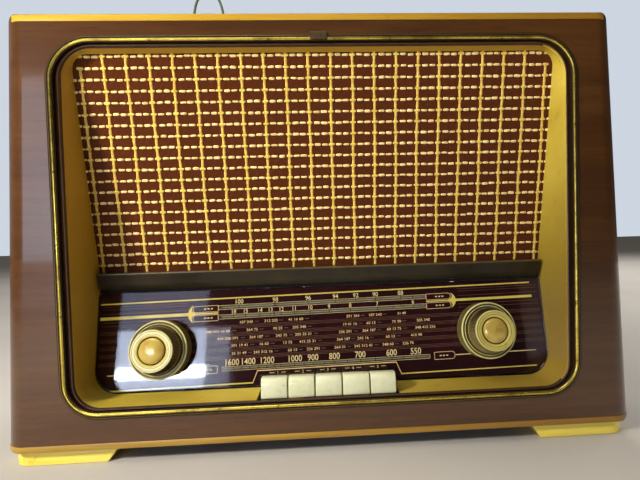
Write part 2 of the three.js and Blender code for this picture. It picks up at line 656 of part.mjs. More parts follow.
// y, height above ground
const LEVER_PROFILE = [
  [20.4, lift(33.2)], [20.4, lift(39)], [80, lift(39)],
  [84, PIVOT_Z + 4.6], [92, PIVOT_Z + 4.6], [97, PIVOT_Z + 2],
  [97, PIVOT_Z - 2], [92, PIVOT_Z - 4.6], [84, PIVOT_Z - 4.6], [78, lift(33.2)],
];
const pivotHole = (x0, x1) => rodX(PIVOT_HOLE_R, x0, x1, PIVOT_Y, PIVOT_Z, 16);

for (let i = 0; i < 5; i++) {
  const x0 = KEY_EDGES[i] + 0.5;
  const x1 = KEY_EDGES[i + 1] - 0.5;
  const middle = (x0 + x1) / 2;
  const slot = box(middle - 1.9, middle + 1.9, 20, KEY_BACK + OVERCUT, lift(20), lift(39.4));
  const cap = prismYZ(lifted(KEY_PROFILE), x0, x1).subtract(slot);
  const bar = prismYZ(LEVER_PROFILE, middle - 1.5, middle + 1.5);
  const lever = bar.subtract(pivotHole(middle - 5, middle + 5));
  add(radio, `key_cap_${i + 1}`, cap, FINISH.keyCap);
  add(radio, `key_lever_${i + 1}`, lever, FINISH.lever);
}
add(radio, "key_pivot_rod", rodX(2, -68, 68, PIVOT_Y, PIVOT_Z, 14), FINISH.steel);

const switchBank = box(-66, 66, 66, 98, FLOOR, 43.5)
  .add(bothSides((side) => sideBox(side, 62.5, 66, 80, 96, 40, 56))) // cheeks for the pivot rod
  .subtract(pivotHole(-80, 80));
add(radio, "switch_bank", switchBank, FINISH.switchBank);

// ---------------------------------------------------------------- chassis and what stands on it
const FLEX_X = -190; // where the mains cord passes the chassis and back cover
const FLEX_Z = 48;
const SHEET = 1.5; // thickness of the chassis walls
const STAND = CHASSIS_TOP + GAP;
// number, x, y, radius, height
const VALVES = [
  [1, -108, 190, 11, 78], [2, -74, 190, 11, 78],
  [3, 132, 190, 10, 62], [4, 190, 150, 10, 56],
];

function chassis() {
  const inside = 235 - SHEET;
  const hollow = [100 + SHEET, 222 - SHEET, FLOOR - OVERCUT, CHASSIS_TOP - SHEET];
  // a level arm forward to each pair of knobs, and a leaning tab that carries the pots
  const bracket = (side) => {
    const across = [KNOB_X - 17, KNOB_X + 17];
    const hole = rodZ(6.5, -18, -8, side * KNOB_X, knobY(side), 20);
    const tab = sideBox(side, ...across, -9.2, 52, -13.5, -12).subtract(hole);
    return sideBox(side, ...across, 49.8, 101, 42.5, 44.5).add(fromFrame(dial, tab));
  };
  return box(-235, 235, 100, 222, FLOOR, CHASSIS_TOP)
    .subtract(box(-inside, inside, ...hollow))
    .subtract(rodY(4.5, 218, 225, FLEX_X, FLEX_Z, 12))
    .add(bothSides(bracket));
}
add(radio, "chassis", chassis(), FINISH.chassis);

// each transformer is an upright block crossed by a deeper, lower one
const mains = box(-218, -138, 146, 178, STAND, STAND + 66)
  .add(box(-206, -150, 128, 196, STAND + 12, STAND + 54));
const output = box(-44, 2, 184, 202, STAND, STAND + 40)
  .add(box(-36, -6, 173, 213, STAND + 8, STAND + 32));
add(radio, "mains_transformer", mains, FINISH.mainsCore);
add(radio, "output_transformer", output, FINISH.outputCore);

for (const [number, x, y, radius, height] of VALVES) {
  const profile = [
    [0, 0], [radius * 0.92, 0], [radius, 12], [radius, height - 14],
    [radius * 0.7, height - 6], [2.2, height], [0, height],
  ];
  const valve = latheZ(profile, x, y, 14).translate([0, 0, STAND]);
  add(radio, `valve_${number}`, valve, FINISH.valve);
}
add(radio, "if_can", box(90, 116, 150, 176, STAND, STAND + 58), FINISH.can);

// ---------------------------------------------------------------- back
const AERIAL_X = -150;
const AERIAL_Z = 118;
// x, y, z
const FLEX_PATH = [
  [FLEX_X, 216, FLEX_Z], [FLEX_X, 232, FLEX_Z], [-189, 246, 44], [-184, 251, 24],
  [-172, 252, 6], [-140, 252, 3.4], [-90, 251, 3.2], [-40, 253, 3.2], [0, 252, 3.2],
];
const AERIAL_PATH = [
  [AERIAL_X, 235, AERIAL_Z], [-153, 242, 150], [-160, 244, 230], [-166, 244, 330],
  [-168.5, 243, 440], [-167.5, 240, 498.5], [-160.5, 239, 519], [-148, 239, 530],
  [-136, 239, 519.5], [-128.5, 240, 498.5], [-127, 243, 440], [-130, 244, 340],
  [-140, 244, 250],
];

function backCover() {
  let cover = prismXZ(panel(259.5, 24, 370, 2, 2), 226, 229);
  for (let i = 0; i < 8; i++) {
    const x = -175 + 50 * i;
    for (const z of [270, 90]) cover = cover.subtract(box(x - 3, x + 3, 220, 235, z, z + 70));
  }
  return cover.subtract(rodY(5, 220, 240, FLEX_X, FLEX_Z, 12));
}
add(radio, "back_cover", backCover(), FINISH.backCover);

const mainsCord = union([
  cable(FLEX_PATH, 3, 34, 7),
  prismYZ([[247, 0], [257, 0], [257, 16], [247, 16]], -1, 26), // plug
  ...[12.5, 3.5].map((z) => rodX(2, 24, 44, 252, z, 10)), // plug pins
]);
add(radio, "mains_cord", mainsCord, FINISH.flex);

const aerialPlug = rodY(3.5, 229.4, 241, AERIAL_X, AERIAL_Z, 10);
add(radio, "aerial_lead", cable(AERIAL_PATH, 1.75, 36, 6).add(aerialPlug), FINISH.aerial);

export default radio;
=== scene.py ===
import json
import math
import random

import bmesh
import bpy
from mathutils import Matrix, Vector


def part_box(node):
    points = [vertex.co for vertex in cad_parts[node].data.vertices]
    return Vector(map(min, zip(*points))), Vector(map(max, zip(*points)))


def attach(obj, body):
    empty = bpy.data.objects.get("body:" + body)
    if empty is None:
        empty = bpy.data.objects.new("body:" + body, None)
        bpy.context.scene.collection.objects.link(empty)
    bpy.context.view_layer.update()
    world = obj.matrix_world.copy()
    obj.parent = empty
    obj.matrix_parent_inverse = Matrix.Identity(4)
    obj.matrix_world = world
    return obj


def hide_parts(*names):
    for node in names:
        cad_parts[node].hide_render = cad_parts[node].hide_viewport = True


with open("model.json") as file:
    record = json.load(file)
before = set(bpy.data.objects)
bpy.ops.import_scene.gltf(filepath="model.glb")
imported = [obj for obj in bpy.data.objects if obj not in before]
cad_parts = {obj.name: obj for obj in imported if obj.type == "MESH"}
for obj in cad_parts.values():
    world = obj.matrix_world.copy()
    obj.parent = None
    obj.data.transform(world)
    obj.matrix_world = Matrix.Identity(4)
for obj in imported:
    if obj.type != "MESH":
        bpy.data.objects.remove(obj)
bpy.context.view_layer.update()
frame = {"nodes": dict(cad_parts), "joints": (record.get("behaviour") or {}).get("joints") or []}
scene = bpy.context.scene
draws = random.Random(11)

# ------------------------------------------------------------------ driving sizes, mm
case_lo, case_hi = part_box("cabinet_shell")
FRONT_Y = case_lo.y  # metres
HALF_W = case_hi.x * 1000
CASE_BOTTOM = case_lo.z * 1000
CASE_TOP = case_hi.z * 1000
DEPTH = (case_hi.y - case_lo.y) * 1000
WALL = 10
DATUM = 14.5
FRONT_R = 18.0  # rounding of the upright front edges
CORNER_R = 12.0  # rounding of the corners seen from the front
EDGE_R = 1.2  # rounding of the top and bottom front edges

# The dial leans back and the cloth leans forward as they rise; y and layout z of their origins
DIAL_SIN, DIAL_COS = math.sin(math.radians(10)), math.cos(math.radians(10))
CLOTH_SIN, CLOTH_COS = math.sin(math.radians(13)), math.cos(math.radians(13))
DIAL_Y, DIAL_Z = 39, 38
CLOTH_Y, CLOTH_Z = 11.94, 333.74

# Outlines of the tapered opening
MID_Z = 180  # layout z at which the half widths hold
TAPER = 0.038  # growth of the half width per mm of height
# half width, bottom, top (layout z), radius of the top and of the bottom corners
HOLE = (223.9, 26.3, 344.4, 33, 28)
BEZEL = (228.2, 23, 347.5, 37, 32)
RIM = (219.4, 29.6, 340.2, 28.6, 23.6)
CORNER_STEPS = 12
SIDE_STEPS = (16, 26, 16, 26)  # bottom, right, top, left


def up(z):
    """Height above the ground of a layout z."""
    return z + DATUM


def at_case(x, y, z):
    return Vector((x * 1e-3, FRONT_Y + y * 1e-3, z * 1e-3))


def at_dial(x, rise, out=0.0):
    """A point on the dial: x across, rise up the glass, out towards the listener."""
    return at_case(
        x,
        DIAL_Y + rise * DIAL_SIN - out * DIAL_COS,
        up(DIAL_Z) + rise * DIAL_COS + out * DIAL_SIN,
    )


def at_print(x, rise, out=0.0):
    """A point of the printing, which sits a little out of level on its glass."""
    return at_dial(x, rise + 0.016 * x, out)


def at_cloth(x, rise, out=0.0):
    """A point on the grille cloth: x across, rise up the cloth, out towards the listener."""
    return at_case(
        x,
        CLOTH_Y - rise * CLOTH_SIN - out * CLOTH_COS,
        up(CLOTH_Z) + rise * CLOTH_COS - out * CLOTH_SIN,
    )


def box_mm(node):
    """x0, x1, y0, y1, z0, z1 of a CAD piece in layout millimetres."""
    lo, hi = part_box(node)
    y0, y1 = (lo.y - FRONT_Y) * 1000, (hi.y - FRONT_Y) * 1000
    return [lo.x * 1000, hi.x * 1000, y0, y1, lo.z * 1000, hi.z * 1000]


# ------------------------------------------------------------------ shader nodes
MATERIALS = {}


def linear(colour):
    """Linear RGBA of an sRGB hex colour."""
    out = []
    for i in (0, 2, 4):
        c = int(colour[i : i + 2], 16) / 255
        out.append(c / 12.92 if c <= 0.04045 else ((c + 0.055) / 1.055) ** 2.4)
    return (*out, 1.0)


class Nodes:
    """Short ways to add nodes to a tree. Inputs may be sockets, plain values or hex colours."""

    def __init__(self, tree):
        self.tree = tree

    def find(self, kind):
        return next(node for node in self.tree.nodes if node.type == kind)

    def feed(self, socket, value):
        if hasattr(value, "links"):
            self.tree.links.new(value, socket)
        else:
            socket.default_value = linear(value) if isinstance(value, str) else value

    def add(self, kind, inputs=None, **settings):
        node = self.tree.nodes.new("ShaderNode" + kind)
        for key, value in settings.items():
            setattr(node, key, value)
        for key, value in (inputs or {}).items():
            self.feed(node.inputs[key], value)
        return node

    def axes(self, vector):
        return self.add("SeparateXYZ", {"Vector": vector}).outputs

    def math(self, operation, first, second=0.0, clamp=False):
        node = self.add("Math", {0: first, 1: second}, operation=operation, use_clamp=clamp)
        return node.outputs[0]

    def map_range(self, value, start=0.0, end=1.0, low=0.0, high=1.0):
        """Maps start..end to low..high."""
        inputs = {"From Min": start, "From Max": end, "To Min": low, "To Max": high}
        return self.add("MapRange", {"Value": value, **inputs}).outputs["Result"]

    def mix_shaders(self, factor, first, second):
        return self.add("MixShader", {0: factor, 1: first, 2: second}).outputs[0]


class Material(Nodes):
    """A principled material whose textures lie in object coordinates, in metres."""

    def __init__(self, name, rough=0.5, metal=0.0, coat=0.0, coat_rough=0.1, spec=0.5):
        material = bpy.data.materials.new(name)
        material.use_nodes = True
        MATERIALS[name] = material
        super().__init__(material.node_tree)
        self.shader = self.find("BSDF_PRINCIPLED")
        self.set({
            "Roughness": rough,
            "Metallic": metal,
            "Coat Weight": coat,
            "Coat Roughness": coat_rough,
            "Specular IOR Level": spec,
        })
        self.object_coords = self.add("TexCoord").outputs["Object"]

    def set(self, inputs):
        for key, value in inputs.items():
            self.feed(self.shader.inputs[key], value)

    def colour(self, colour):
        self.set({"Base Color": colour})

    def noise(self, scale, detail=4.0, rough=0.55, distortion=0.0, offset=(0, 0, 0)):
        """Noise; scale is one number or one for each axis."""
        if not isinstance(scale, tuple):
            scale = (scale,) * 3
        placed = {"Scale": scale, "Location": offset, "Vector": self.object_coords}
        inputs = {
            "Scale": 1.0,
            "Detail": detail,
            "Roughness": rough,
            "Distortion": distortion,
            "Vector": self.add("Mapping", placed).outputs["Vector"],
        }
        return self.add("TexNoise", inputs).outputs["Fac"]

    def ramp(self, factor, stops):
        """Colour ramp; stops are (position, hex colour or grey level)."""
        node = self.add("ValToRGB", {"Fac": factor})
        elements = node.color_ramp.elements
        while len(elements) < len(stops):
            elements.new(0.5)
        for element, (position, value) in zip(elements, stops):
            element.position = position
            element.color = linear(value) if isinstance(value, str) else (value,) * 3 + (1,)
        return node.outputs["Color"]

    def mix(self, factor, first, second):
        return self.add("Mix", {0: factor, 6: first, 7: second}, data_type="RGBA").outputs[2]

    def stain(self, base, pattern, span, amount, tint):
        """base, tinted by up to amount as the pattern rises through the span."""
        mask = self.ramp(pattern, [(span[0], 0.0), (span[1], amount)])
        return self.mix(mask, base, tint)

    def rough(self, pattern, low, high):
        self.set({"Roughness": self.map_range(pattern, low=low, high=high)})

    def bump(self, height, distance, strength):
        inputs = {"Strength": strength, "Distance": distance, "Height": height}
        self.set({"Normal": self.add("Bump", inputs).outputs["Normal"]})

    def see_through(self, ior, operation, amount, tint, surface):
        """Mixes clear glass with a surface shader by an adjusted Fresnel factor."""
        fresnel = self.add("Fresnel", {"IOR": ior}).outputs["Fac"]
        factor = self.math(operation, fresnel, amount, clamp=True)
        clear = self.add("BsdfTransparent", {"Color": tint}).outputs[0]
        mixed = self.mix_shaders(factor, clear, surface)
        self.feed(self.find("OUTPUT_MATERIAL").inputs["Surface"], mixed)


# ------------------------------------------------------------------ wood
def walnut(name, stretch):
    """Dark lacquered veneer; stretch is small along the grain."""
    w = Material(name, rough=0.3, coat=0.75, coat_rough=0.07, spec=0.35)
    sx, sy, sz = stretch
    broad = w.noise((sx * 2.2, sy * 2.2, sz * 2.2), detail=5, rough=0.6, distortion=0.7)
    fine = w.noise(
        (sx * 9, sy * 9, sz * 9), detail=6, rough=0.65, distortion=0.2, offset=(3.1, 1.7, 0.4)
    )
    pores = w.noise((sx * 30, sy * 34, sz * 34), detail=3, rough=0.7, offset=(7.7, 2.2, 5.1))
    base = w.ramp(broad, [(0.28, "3a200b"), (0.48, "482a0f"), (0.62, "523214"), (0.8, "40260d")])
    streaks = w.ramp(fine, [(0.35, "361c0a"), (0.55, "4a2c10"), (0.75, "5a3818")])
    base = w.mix(0.3, base, streaks)
    w.colour(w.mix(w.ramp(pores, [(0.34, 0.5), (0.41, 0.0)]), base, "1e0e06"))
    w.rough(w.noise(9, detail=3, rough=0.5), low=0.24, high=0.4)
    w.bump(fine, distance=0.00008, strength=0.25)


def plain_wood(name, dark, middle, light, rough):
    w = Material(name, rough=rough, coat=0.35, coat_rough=0.15)
    grain = w.noise((6, 120, 160), detail=5, rough=0.6, distortion=0.4)
    spots = w.noise(55, rough=0.6, offset=(2, 4, 1))
    base = w.ramp(grain, [(0.3, dark), (0.5, middle), (0.72, light)])
    if "strip" in name:
        # painted shade: the light strips darken towards the right
        x = w.axes(w.object_coords)["X"]
        base = w.mix(w.map_range(x, start=-0.05, end=0.2, high=0.75), base, "7c5014")
    w.colour(w.stain(base, spots, (0.62, 0.74), amount=0.55, tint="8a5f16"))
    w.rough(spots, low=rough - 0.06, high=rough + 0.14)
    w.bump(grain, distance=0.0001, strength=0.25)


walnut("walnut_front", (1.4, 26, 26))
walnut("walnut_side", (26, 26, 1.4))
# name, dark, middle and light colours, roughness
for row in (
    ("raw_wood", "8a6a40", "a3804f", "b8945f", 0.75),
    ("golden_strip", "a87c1a", "b89020", "c4a030", 0.38),
    # a darker copy for the lower strip: painted shade on the edge that faces down
    ("golden_strip_low", "86641c", "9c7824", "ac882e", 0.3),
    ("foot_wood", "e8ca42", "f2d856", "f8e26c", 0.45),
    ("board_wood", "8a6a40", "9c7a4c", "ab8858", 0.85),
):
    plain_wood(*row)


# ------------------------------------------------------------------ metals
def metal(name, colour, dark, rough, metallic, scale, patina):
    w = Material(name, rough=rough, metal=metallic)
    cloud = w.noise(scale, detail=5, rough=0.65)
    w.colour(w.stain(colour, cloud, (0.56, 0.7), amount=patina, tint=dark))
    w.rough(cloud, low=rough - 0.07, high=rough + 0.16)


# name, colour, patina colour, roughness, metallic, noise scale, patina amount
for row in (
    ("clip_bronze", "5c4a2c", "2c2212", 0.42, 0.7, 220, 0.7),
    ("bezel_fine_line", "7a6430", "4a3616", 0.35, 0.8, 200, 0.7),
    ("plated_steel", "b0b0ac", "6a6458", 0.28, 1.0, 90, 0.5),
    ("chassis_plate", "9a9c98", "6c6a5c", 0.4, 0.85, 50, 0.5),
    ("vane_aluminium", "bcbcb4", "8a8a80", 0.32, 1.0, 80, 0.4),
    ("turned_brass", "c8a850", "7a5a20", 0.28, 1.0, 120, 0.5),
    ("varnished_core", "3c3a36", "241e16", 0.45, 0.4, 110, 0.6),
    ("aluminium_can", "c8c8c4", "94948c", 0.3, 1.0, 70, 0.3),
):
    metal(*row)


def brass_moulding():
    """Bright on the bead, brown in patches where the plating has worn, and with painted shade: brown
    where the bead turns away from the front.
    """
    w = Material("brass_moulding", rough=0.22, metal=0.95)
    cloud = w.noise(28, detail=6, rough=0.7)
    spots = w.noise(170, rough=0.7, offset=(5, 1, 2))
    # painted shade: faces that turn away from the front go brown
    normal = w.axes(w.add("NewGeometry").outputs["Normal"])
    facing = w.math("MULTIPLY", normal["Y"], -1.0, clamp=True)
    base = w.stain("e4cc5a", cloud, (0.47, 0.64), amount=0.7, tint="745420")
    base = w.stain(base, spots, (0.6, 0.68), amount=0.8, tint="2e1c0a")
    w.colour(w.mix(w.ramp(facing, [(0.12, 0.85), (0.55, 0.0)]), base, "3c280e"))
    w.rough(cloud, low=0.16, high=0.42)


def escutcheon_gold():
    """Old gold of the moulded frame, with painted shade: browned at the left and top and darker at
    lower right.
    """
    w = Material("escutcheon_gold", rough=0.4, coat=0.12, coat_rough=0.2, spec=0.4)
    cloud = w.noise(16, detail=5, rough=0.6)
    stain = w.noise(60, detail=5, rough=0.7, offset=(4, 4, 2))
    base = w.ramp(cloud, [(0.34, "b39a32"), (0.52, "bea43c"), (0.7, "c6ae45")])
    base = w.stain(base, stain, (0.58, 0.76), amount=0.4, tint="8a6420")
    position = w.axes(w.object_coords)
    # painted shade: the left and top walls turn brown
    left = w.map_range(position["X"], start=-0.205, end=-0.218, high=0.6)
    top = w.map_range(position["Z"], start=0.346, end=0.352, high=0.6)
    base = w.mix(w.math("MAXIMUM", left, top), base, "b47c22")
    # painted shade: darker towards the lower right
    right = w.map_range(position["X"], start=0.02, end=0.2)
    low = w.map_range(position["Z"], start=0.24, end=0.12, high=0.6)
    w.colour(w.mix(w.math("MULTIPLY", right, low), base, "7e5c1c"))
    w.rough(cloud, low=0.34, high=0.5)


def dome_gold():
    w = Material("dome_gold", rough=0.2, metal=0.2, coat=0.6, coat_rough=0.06)
    cloud = w.noise(130, detail=5, rough=0.6)
    w.colour(w.ramp(cloud, [(0.3, "a48434"), (0.5, "b89c48"), (0.75, "c4ac58")]))
    w.rough(cloud, low=0.12, high=0.34)


brass_moulding()
escutcheon_gold()
dome_gold()


# ------------------------------------------------------------------ plastics and paints
def plastic(name, colour, dark, rough, coat, scale, amount, bump=0.0):
    w = Material(name, rough=rough, coat=coat)
    cloud = w.noise(scale, rough=0.6)
    w.colour(w.stain(colour, cloud, (0.48, 0.72), amount=amount, tint=dark))
    w.rough(cloud, low=rough - 0.06, high=rough + 0.08)
    if bump:
        w.bump(w.noise(scale * 20, detail=2), distance=0.0001, strength=bump)


# name, colour, stain colour, roughness, coat, noise scale, stain amount, bump if any
for row in (
    # dark rim of the moulded frame: painted shade next to the bezel
    ("frame_edge_dark", "3c2410", "1e1006", 0.45, 0.1, 90, 0.6),
    ("bezel_patina", "2a1a0a", "120a04", 0.5, 0.0, 160, 0.6),
    ("shelf_bronze", "1c1408", "342808", 0.4, 0.1, 50, 0.6),
    # black felt, also standing in for the shade under the shelf: painted shade
    ("felt_black", "15110f", "0c0a08", 0.95, 0.0, 300, 0.5, 0.4),
    # lighter top edge of the shelf: painted highlight
    ("shelf_edge", "544420", "2a200e", 0.35, 0.2, 70, 0.6),
    ("ring_olive", "7c7036", "4c4018", 0.38, 0.3, 90, 0.5),
    ("ring_cream", "d8cc88", "a89a50", 0.3, 0.3, 120, 0.4),
    # the ring's recess colour also darkens one flank of each knurl: painted shade
    ("ring_recess", "564a20", "32280e", 0.45, 0.1, 120, 0.5),
    ("cap_side", "94824c", "5c4a24", 0.42, 0.2, 120, 0.5),
    # the dark flank of each flute on the caps: painted shade
    ("cap_groove", "281d0a", "140e05", 0.6, 0.0, 120, 0.5),
    ("cap_edge_cream", "ccc488", "a8a060", 0.36, 0.2, 120, 0.4),
    ("groove_dark", "3a2a0c", "1c1204", 0.6, 0.0, 100, 0.3),
    ("paper_phenolic", "a07c44", "74562a", 0.5, 0.1, 60, 0.5),
    ("cone_paper", "2e2824", "1c1714", 0.95, 0.0, 160, 0.5, 0.6),
    ("flex_grey", "5c6650", "3c4234", 0.45, 0.2, 70, 0.5),
    ("plug_bakelite", "3a2214", "1e120a", 0.25, 0.4, 60, 0.5),
):
    plastic(*row)


def paint(name, first, second, rough, spec=0.5, scale=120, painted_glow=0.0, metallic=0.0):
    w = Material(name, rough=rough, metal=metallic, spec=spec)
    w.colour(w.ramp(w.noise(scale, rough=0.6), [(0.35, first), (0.68, second)]))
    # painted light: a glow, though the print is no lamp
    if painted_glow:
        w.set({"Emission Color": first, "Emission Strength": painted_glow})


# name, first and second colours, roughness, specular, noise scale, painted glow, metallic
for row in (
    ("dial_print", "431618", "300e10", 0.6, 0.05, 40),
    # the gold lines, numerals and small marks glow a little: painted light
    ("gold_line", "f8dc58", "fee87c", 0.5, 0.1, 120, 0.22),
    ("numeral_cream", "ffe094", "ffecb0", 0.5, 0.05, 120, 0.28),
    ("small_mark", "ffd688", "ffe2a4", 0.5, 0.05, 120, 0.34),
    ("pin_line", "86583c", "966848", 0.5, 0.05),
    ("dash_grey", "746460", "847468", 0.6, 0.05),
    ("tick_dark", "120a0a", "1c1010", 0.6, 0.05),
    ("light_bar", "c4c08c", "d4d09c", 0.55, 0.1, 60),
    ("bar_line", "e8dca0", "f0e8b8", 0.5, 0.05),
    ("backplate_maroon", "2a1216", "1e0c10", 0.6, 0.5, 120, 0.0, 0.1),
    # dark pointer colour: painted shadow of the pointer on the scale
    ("pointer_dark", "1c1210", "2c1c16", 0.5),
    ("lamp_bulb", "e0cc8a", "f0e0aa", 0.15),
):
    paint(*row)


def cap_face():
    w = Material("cap_face", rough=0.3, coat=0.35, coat_rough=0.12)
    cloud = w.noise(110, rough=0.6)
    w.colour(w.ramp(cloud, [(0.35, "b6a650"), (0.55, "c0b05a"), (0.75, "a09040")]))


def key_ivory():
    w = Material("key_ivory", rough=0.28, coat=0.3, coat_rough=0.1)
    w.set({"Subsurface Weight": 0.08, "Subsurface Radius": (0.004, 0.003, 0.002)})
    cloud = w.noise(45, rough=0.6)
    specks = w.noise(900, detail=2, rough=0.5, offset=(1, 2, 3))
    base = w.ramp(cloud, [(0.35, "c8c8a0"), (0.55, "d0cfaa"), (0.75, "bebb8c")])
    w.colour(w.stain(base, specks, (0.7, 0.76), amount=0.7, tint="4a3a22"))
    w.rough(cloud, low=0.22, high=0.36)


cap_face()
key_ivory()


# ------------------------------------------------------------------ cloth, board and glass
def cloth_ground():
    """Fine ribbed maroon weave."""
    w = Material("cloth_ground", rough=0.95, spec=0.2)
    position = w.axes(w.object_coords)

    def ribs(coordinate, pitch):
        wave = w.math("SINE", w.math("MULTIPLY", coordinate, 2 * math.pi / pitch))
        return w.math("MULTIPLY", w.math("ADD", wave, 1.0), 0.5)

    rib = ribs(position["X"], pitch=0.00106)
    weft = ribs(position["Z"], pitch=0.0014)
    weave = w.math("MULTIPLY", rib, w.math("ADD", w.math("MULTIPLY", weft, 0.4), 0.6))
    dust = w.noise(300, rough=0.7)
    area = w.noise(14, rough=0.6)
    base = w.mix(weave, "321508", "6e3616")
    base = w.stain(base, dust, (0.55, 0.75), amount=0.5, tint="7a4228")
    w.colour(w.stain(base, area, (0.4, 0.7), amount=0.4, tint="4a2410"))
    w.bump(weave, distance=0.0003, strength=0.6)


def thread(name, dark, middle, light):
    w = Material(name, rough=0.85, spec=0.25)
    w.set({"Sheen Weight": 0.15})
    twist = w.noise((420, 420, 900), detail=3, rough=0.6)
    patch = w.noise(60, detail=3, rough=0.6, offset=(1, 5, 2))
    base = w.ramp(twist, [(0.32, dark), (0.52, middle), (0.7, light)])
    w.colour(w.stain(base, patch, (0.55, 0.75), amount=0.35, tint=dark))
    w.bump(twist, distance=0.00025, strength=0.5)


def hardboard():
    """Back board with a pressed fibre texture."""
    w = Material("hardboard", rough=0.85, spec=0.25)
    fibre = w.noise(260, detail=6, rough=0.75, distortion=0.6)
    area = w.noise(12, rough=0.6)
    base = w.ramp(fibre, [(0.3, "5a3f26"), (0.5, "7c5a38"), (0.7, "94704a")])
    w.colour(w.stain(base, area, (0.4, 0.75), amount=0.4, tint="5c4028"))
    w.bump(fibre, distance=0.0003, strength=0.4)


def dial_glass():
    w = Material("dial_glass")
    smear = w.noise((20, 20, 30), detail=5, rough=0.65)
    roughness = w.map_range(smear, low=0.01, high=0.09)
    glossy = w.add("BsdfGlossy", {"Roughness": roughness}).outputs[0]
    tint = (0.93, 0.93, 0.95, 1)
    w.see_through(ior=1.52, operation="MULTIPLY", amount=0.7, tint=tint, surface=glossy)


def valve_glass():
    w = Material("valve_glass", rough=0.04, metal=0.6)
    w.colour(w.ramp(w.noise(60), [(0.4, "3a3c3c"), (0.7, "8a8e8e")]))
    tint = (0.75, 0.78, 0.78, 1)
    silvering = w.shader.outputs[0]
    w.see_through(ior=1.5, operation="ADD", amount=0.25, tint=tint, surface=silvering)


def floor_pale():
    w = Material("floor_pale", rough=0.75)
    w.colour(w.ramp(w.noise(3), [(0.3, "b4aea6"), (0.7, "beb8b0")]))


cloth_ground()
# name, dark, middle and light colours
for row in (
    ("warp_thread", "b08830", "dcb654", "ecca70"),
    ("float_thread", "c8a05a", "f0d48c", "f8e4ac"),
    ("knot_thread", "b49038", "e2c25c", "f0d880"),
    ("waxed_cord", "9a9070", "c4ba98", "d8d0b0"),
    ("flex_brown", "3c2616", "5a3a22", "6c4a2e"),
):
    thread(*row)
hardboard()
dial_glass()
valve_glass()
floor_pale()


# ------------------------------------------------------------------ mesh building
class Shape:
    """Gathers vertices and faces; index is a material slot number."""

    def __init__(self):
        self.verts, self.faces, self.indices = [], [], []

    def add_face(self, face, index=0):
        self.faces.append(face)
        self.indices.append(index)

    def add(self, verts, faces):
        start = len(self.verts)
        self.verts += verts
        for face in faces:
            self.add_face(tuple(i + start for i in face))

    def loft(self, loops, index=0, closed=False, caps=False):
        """Skins loops of equal length; index is one number or one per gap."""
        n, start = len(loops[0]), len(self.verts)
        gaps = len(loops) if closed else len(loops) - 1
        per_gap = index if isinstance(index, list) else [index] * gaps
        self.verts += [p for loop in loops for p in loop]
        for gap in range(gaps):
            a, b = start + gap * n, start + (gap + 1) % len(loops) * n
            for i in range(n):
                j = (i + 1) % n
                self.add_face((a + i, a + j, b + j, b + i), per_gap[gap])
        if caps:
            end = start + len(loops) * n
            self.add_face(tuple(reversed(range(start, start + n))), per_gap[0])
            self.add_face(tuple(range(end - n, end)), per_gap[-1])

    def prism(self, outline, place, low, high, index=0):
        """A closed slab: an outline in two coordinates, pushed from low to high."""
        loops = [[place(x, y, level) for x, y in outline] for level in (low, high)]
        self.loft(loops, index, caps=True)

    def brick(self, x0, x1, y0, y1, z0, z1, place=at_case, index=0):
        self.prism(rectangle(x0, x1, y0, y1), place, z0, z1, index)

    def fan(self, tip, ring, n, index=0, flip=False):
        """Triangles from a new tip vertex to the ring of n vertices that starts at ring."""
        centre = len(self.verts)
        self.verts.append(tip)
        for i in range(n):
            pair = (ring + i, ring + (i + 1) % n)
            self.add_face((centre, *(pair[::-1] if flip else pair)), index)

    def lathe(self, profile, place, x, y, n, index=0, flutes=(), flute_depth=0.0):
        """Turned form from (radius, height) points, closed on the axis or on itself.

        flutes lists the profile points at which every other vertex is sunk.
        """
        loops = []
        for k, (radius, height) in enumerate(profile):
            ring = []
            for i in range(n):
                angle = 2 * math.pi * i / n
                r = radius - (flute_depth if k in flutes and i % 2 else 0)
                ring.append(place(x + r * math.cos(angle), y + r * math.sin(angle), height))
            loops.append(ring)
        if profile[0][0] != 0:
            self.loft(loops, index, closed=True)
            return
        start = len(self.verts)
        self.loft(loops[1:-1], index)
        last_ring = len(self.verts) - n
        self.fan(place(x, y, profile[0][1]), start, n, index, flip=True)
        self.fan(place(x, y, profile[-1][1]), last_ring, n, index)

    def to_object(self, name, materials=(), merge=False):
        mesh = bpy.data.meshes.new(name)
        mesh.from_pydata([tuple(p) for p in self.verts], [], self.faces)
        for material in materials:
            mesh.materials.append(MATERIALS[material])
        if materials:
            mesh.polygons.foreach_set("material_index", self.indices)
        bm = bmesh.new()
        bm.from_mesh(mesh)
        if merge:
            bmesh.ops.remove_doubles(bm, verts=bm.verts, dist=2e-6)
            bmesh.ops.dissolve_degenerate(bm, edges=bm.edges, dist=1e-7)
        bmesh.ops.recalc_face_normals(bm, faces=bm.faces)
        bm.to_mesh(mesh)
        bm.free()
        obj = bpy.data.objects.new(name, mesh)
        scene.collection.objects.link(obj)
        return obj

    def make(self, name, materials, slot, replaces=None, body="cabinet", smooth=None,
             merge=True, cutter=None, bevel=None):
        """The finished piece. materials are names parted by spaces, smooth is an angle in
        degrees, bevel a width in mm and cutter a Shape to take away."""
        obj = self.to_object(name, materials.split(), merge)
        if cutter is not None:
            cut(obj, cutter)
        if bevel:
            edges = obj.modifiers.new("edges", "BEVEL")
            edges.width = bevel * 1e-3
            edges.segments = 2
            edges.limit_method = "ANGLE"
            edges.angle_limit = math.radians(32)
            apply_modifiers(obj)
        shade(obj, smooth)
        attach(obj, body)
        if replaces:
            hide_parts(replaces)
        return obj


def shade(obj, smooth):
    if smooth:
        obj.data.shade_smooth()
        obj.data.set_sharp_from_angle(angle=math.radians(smooth))
    obj.data.update()


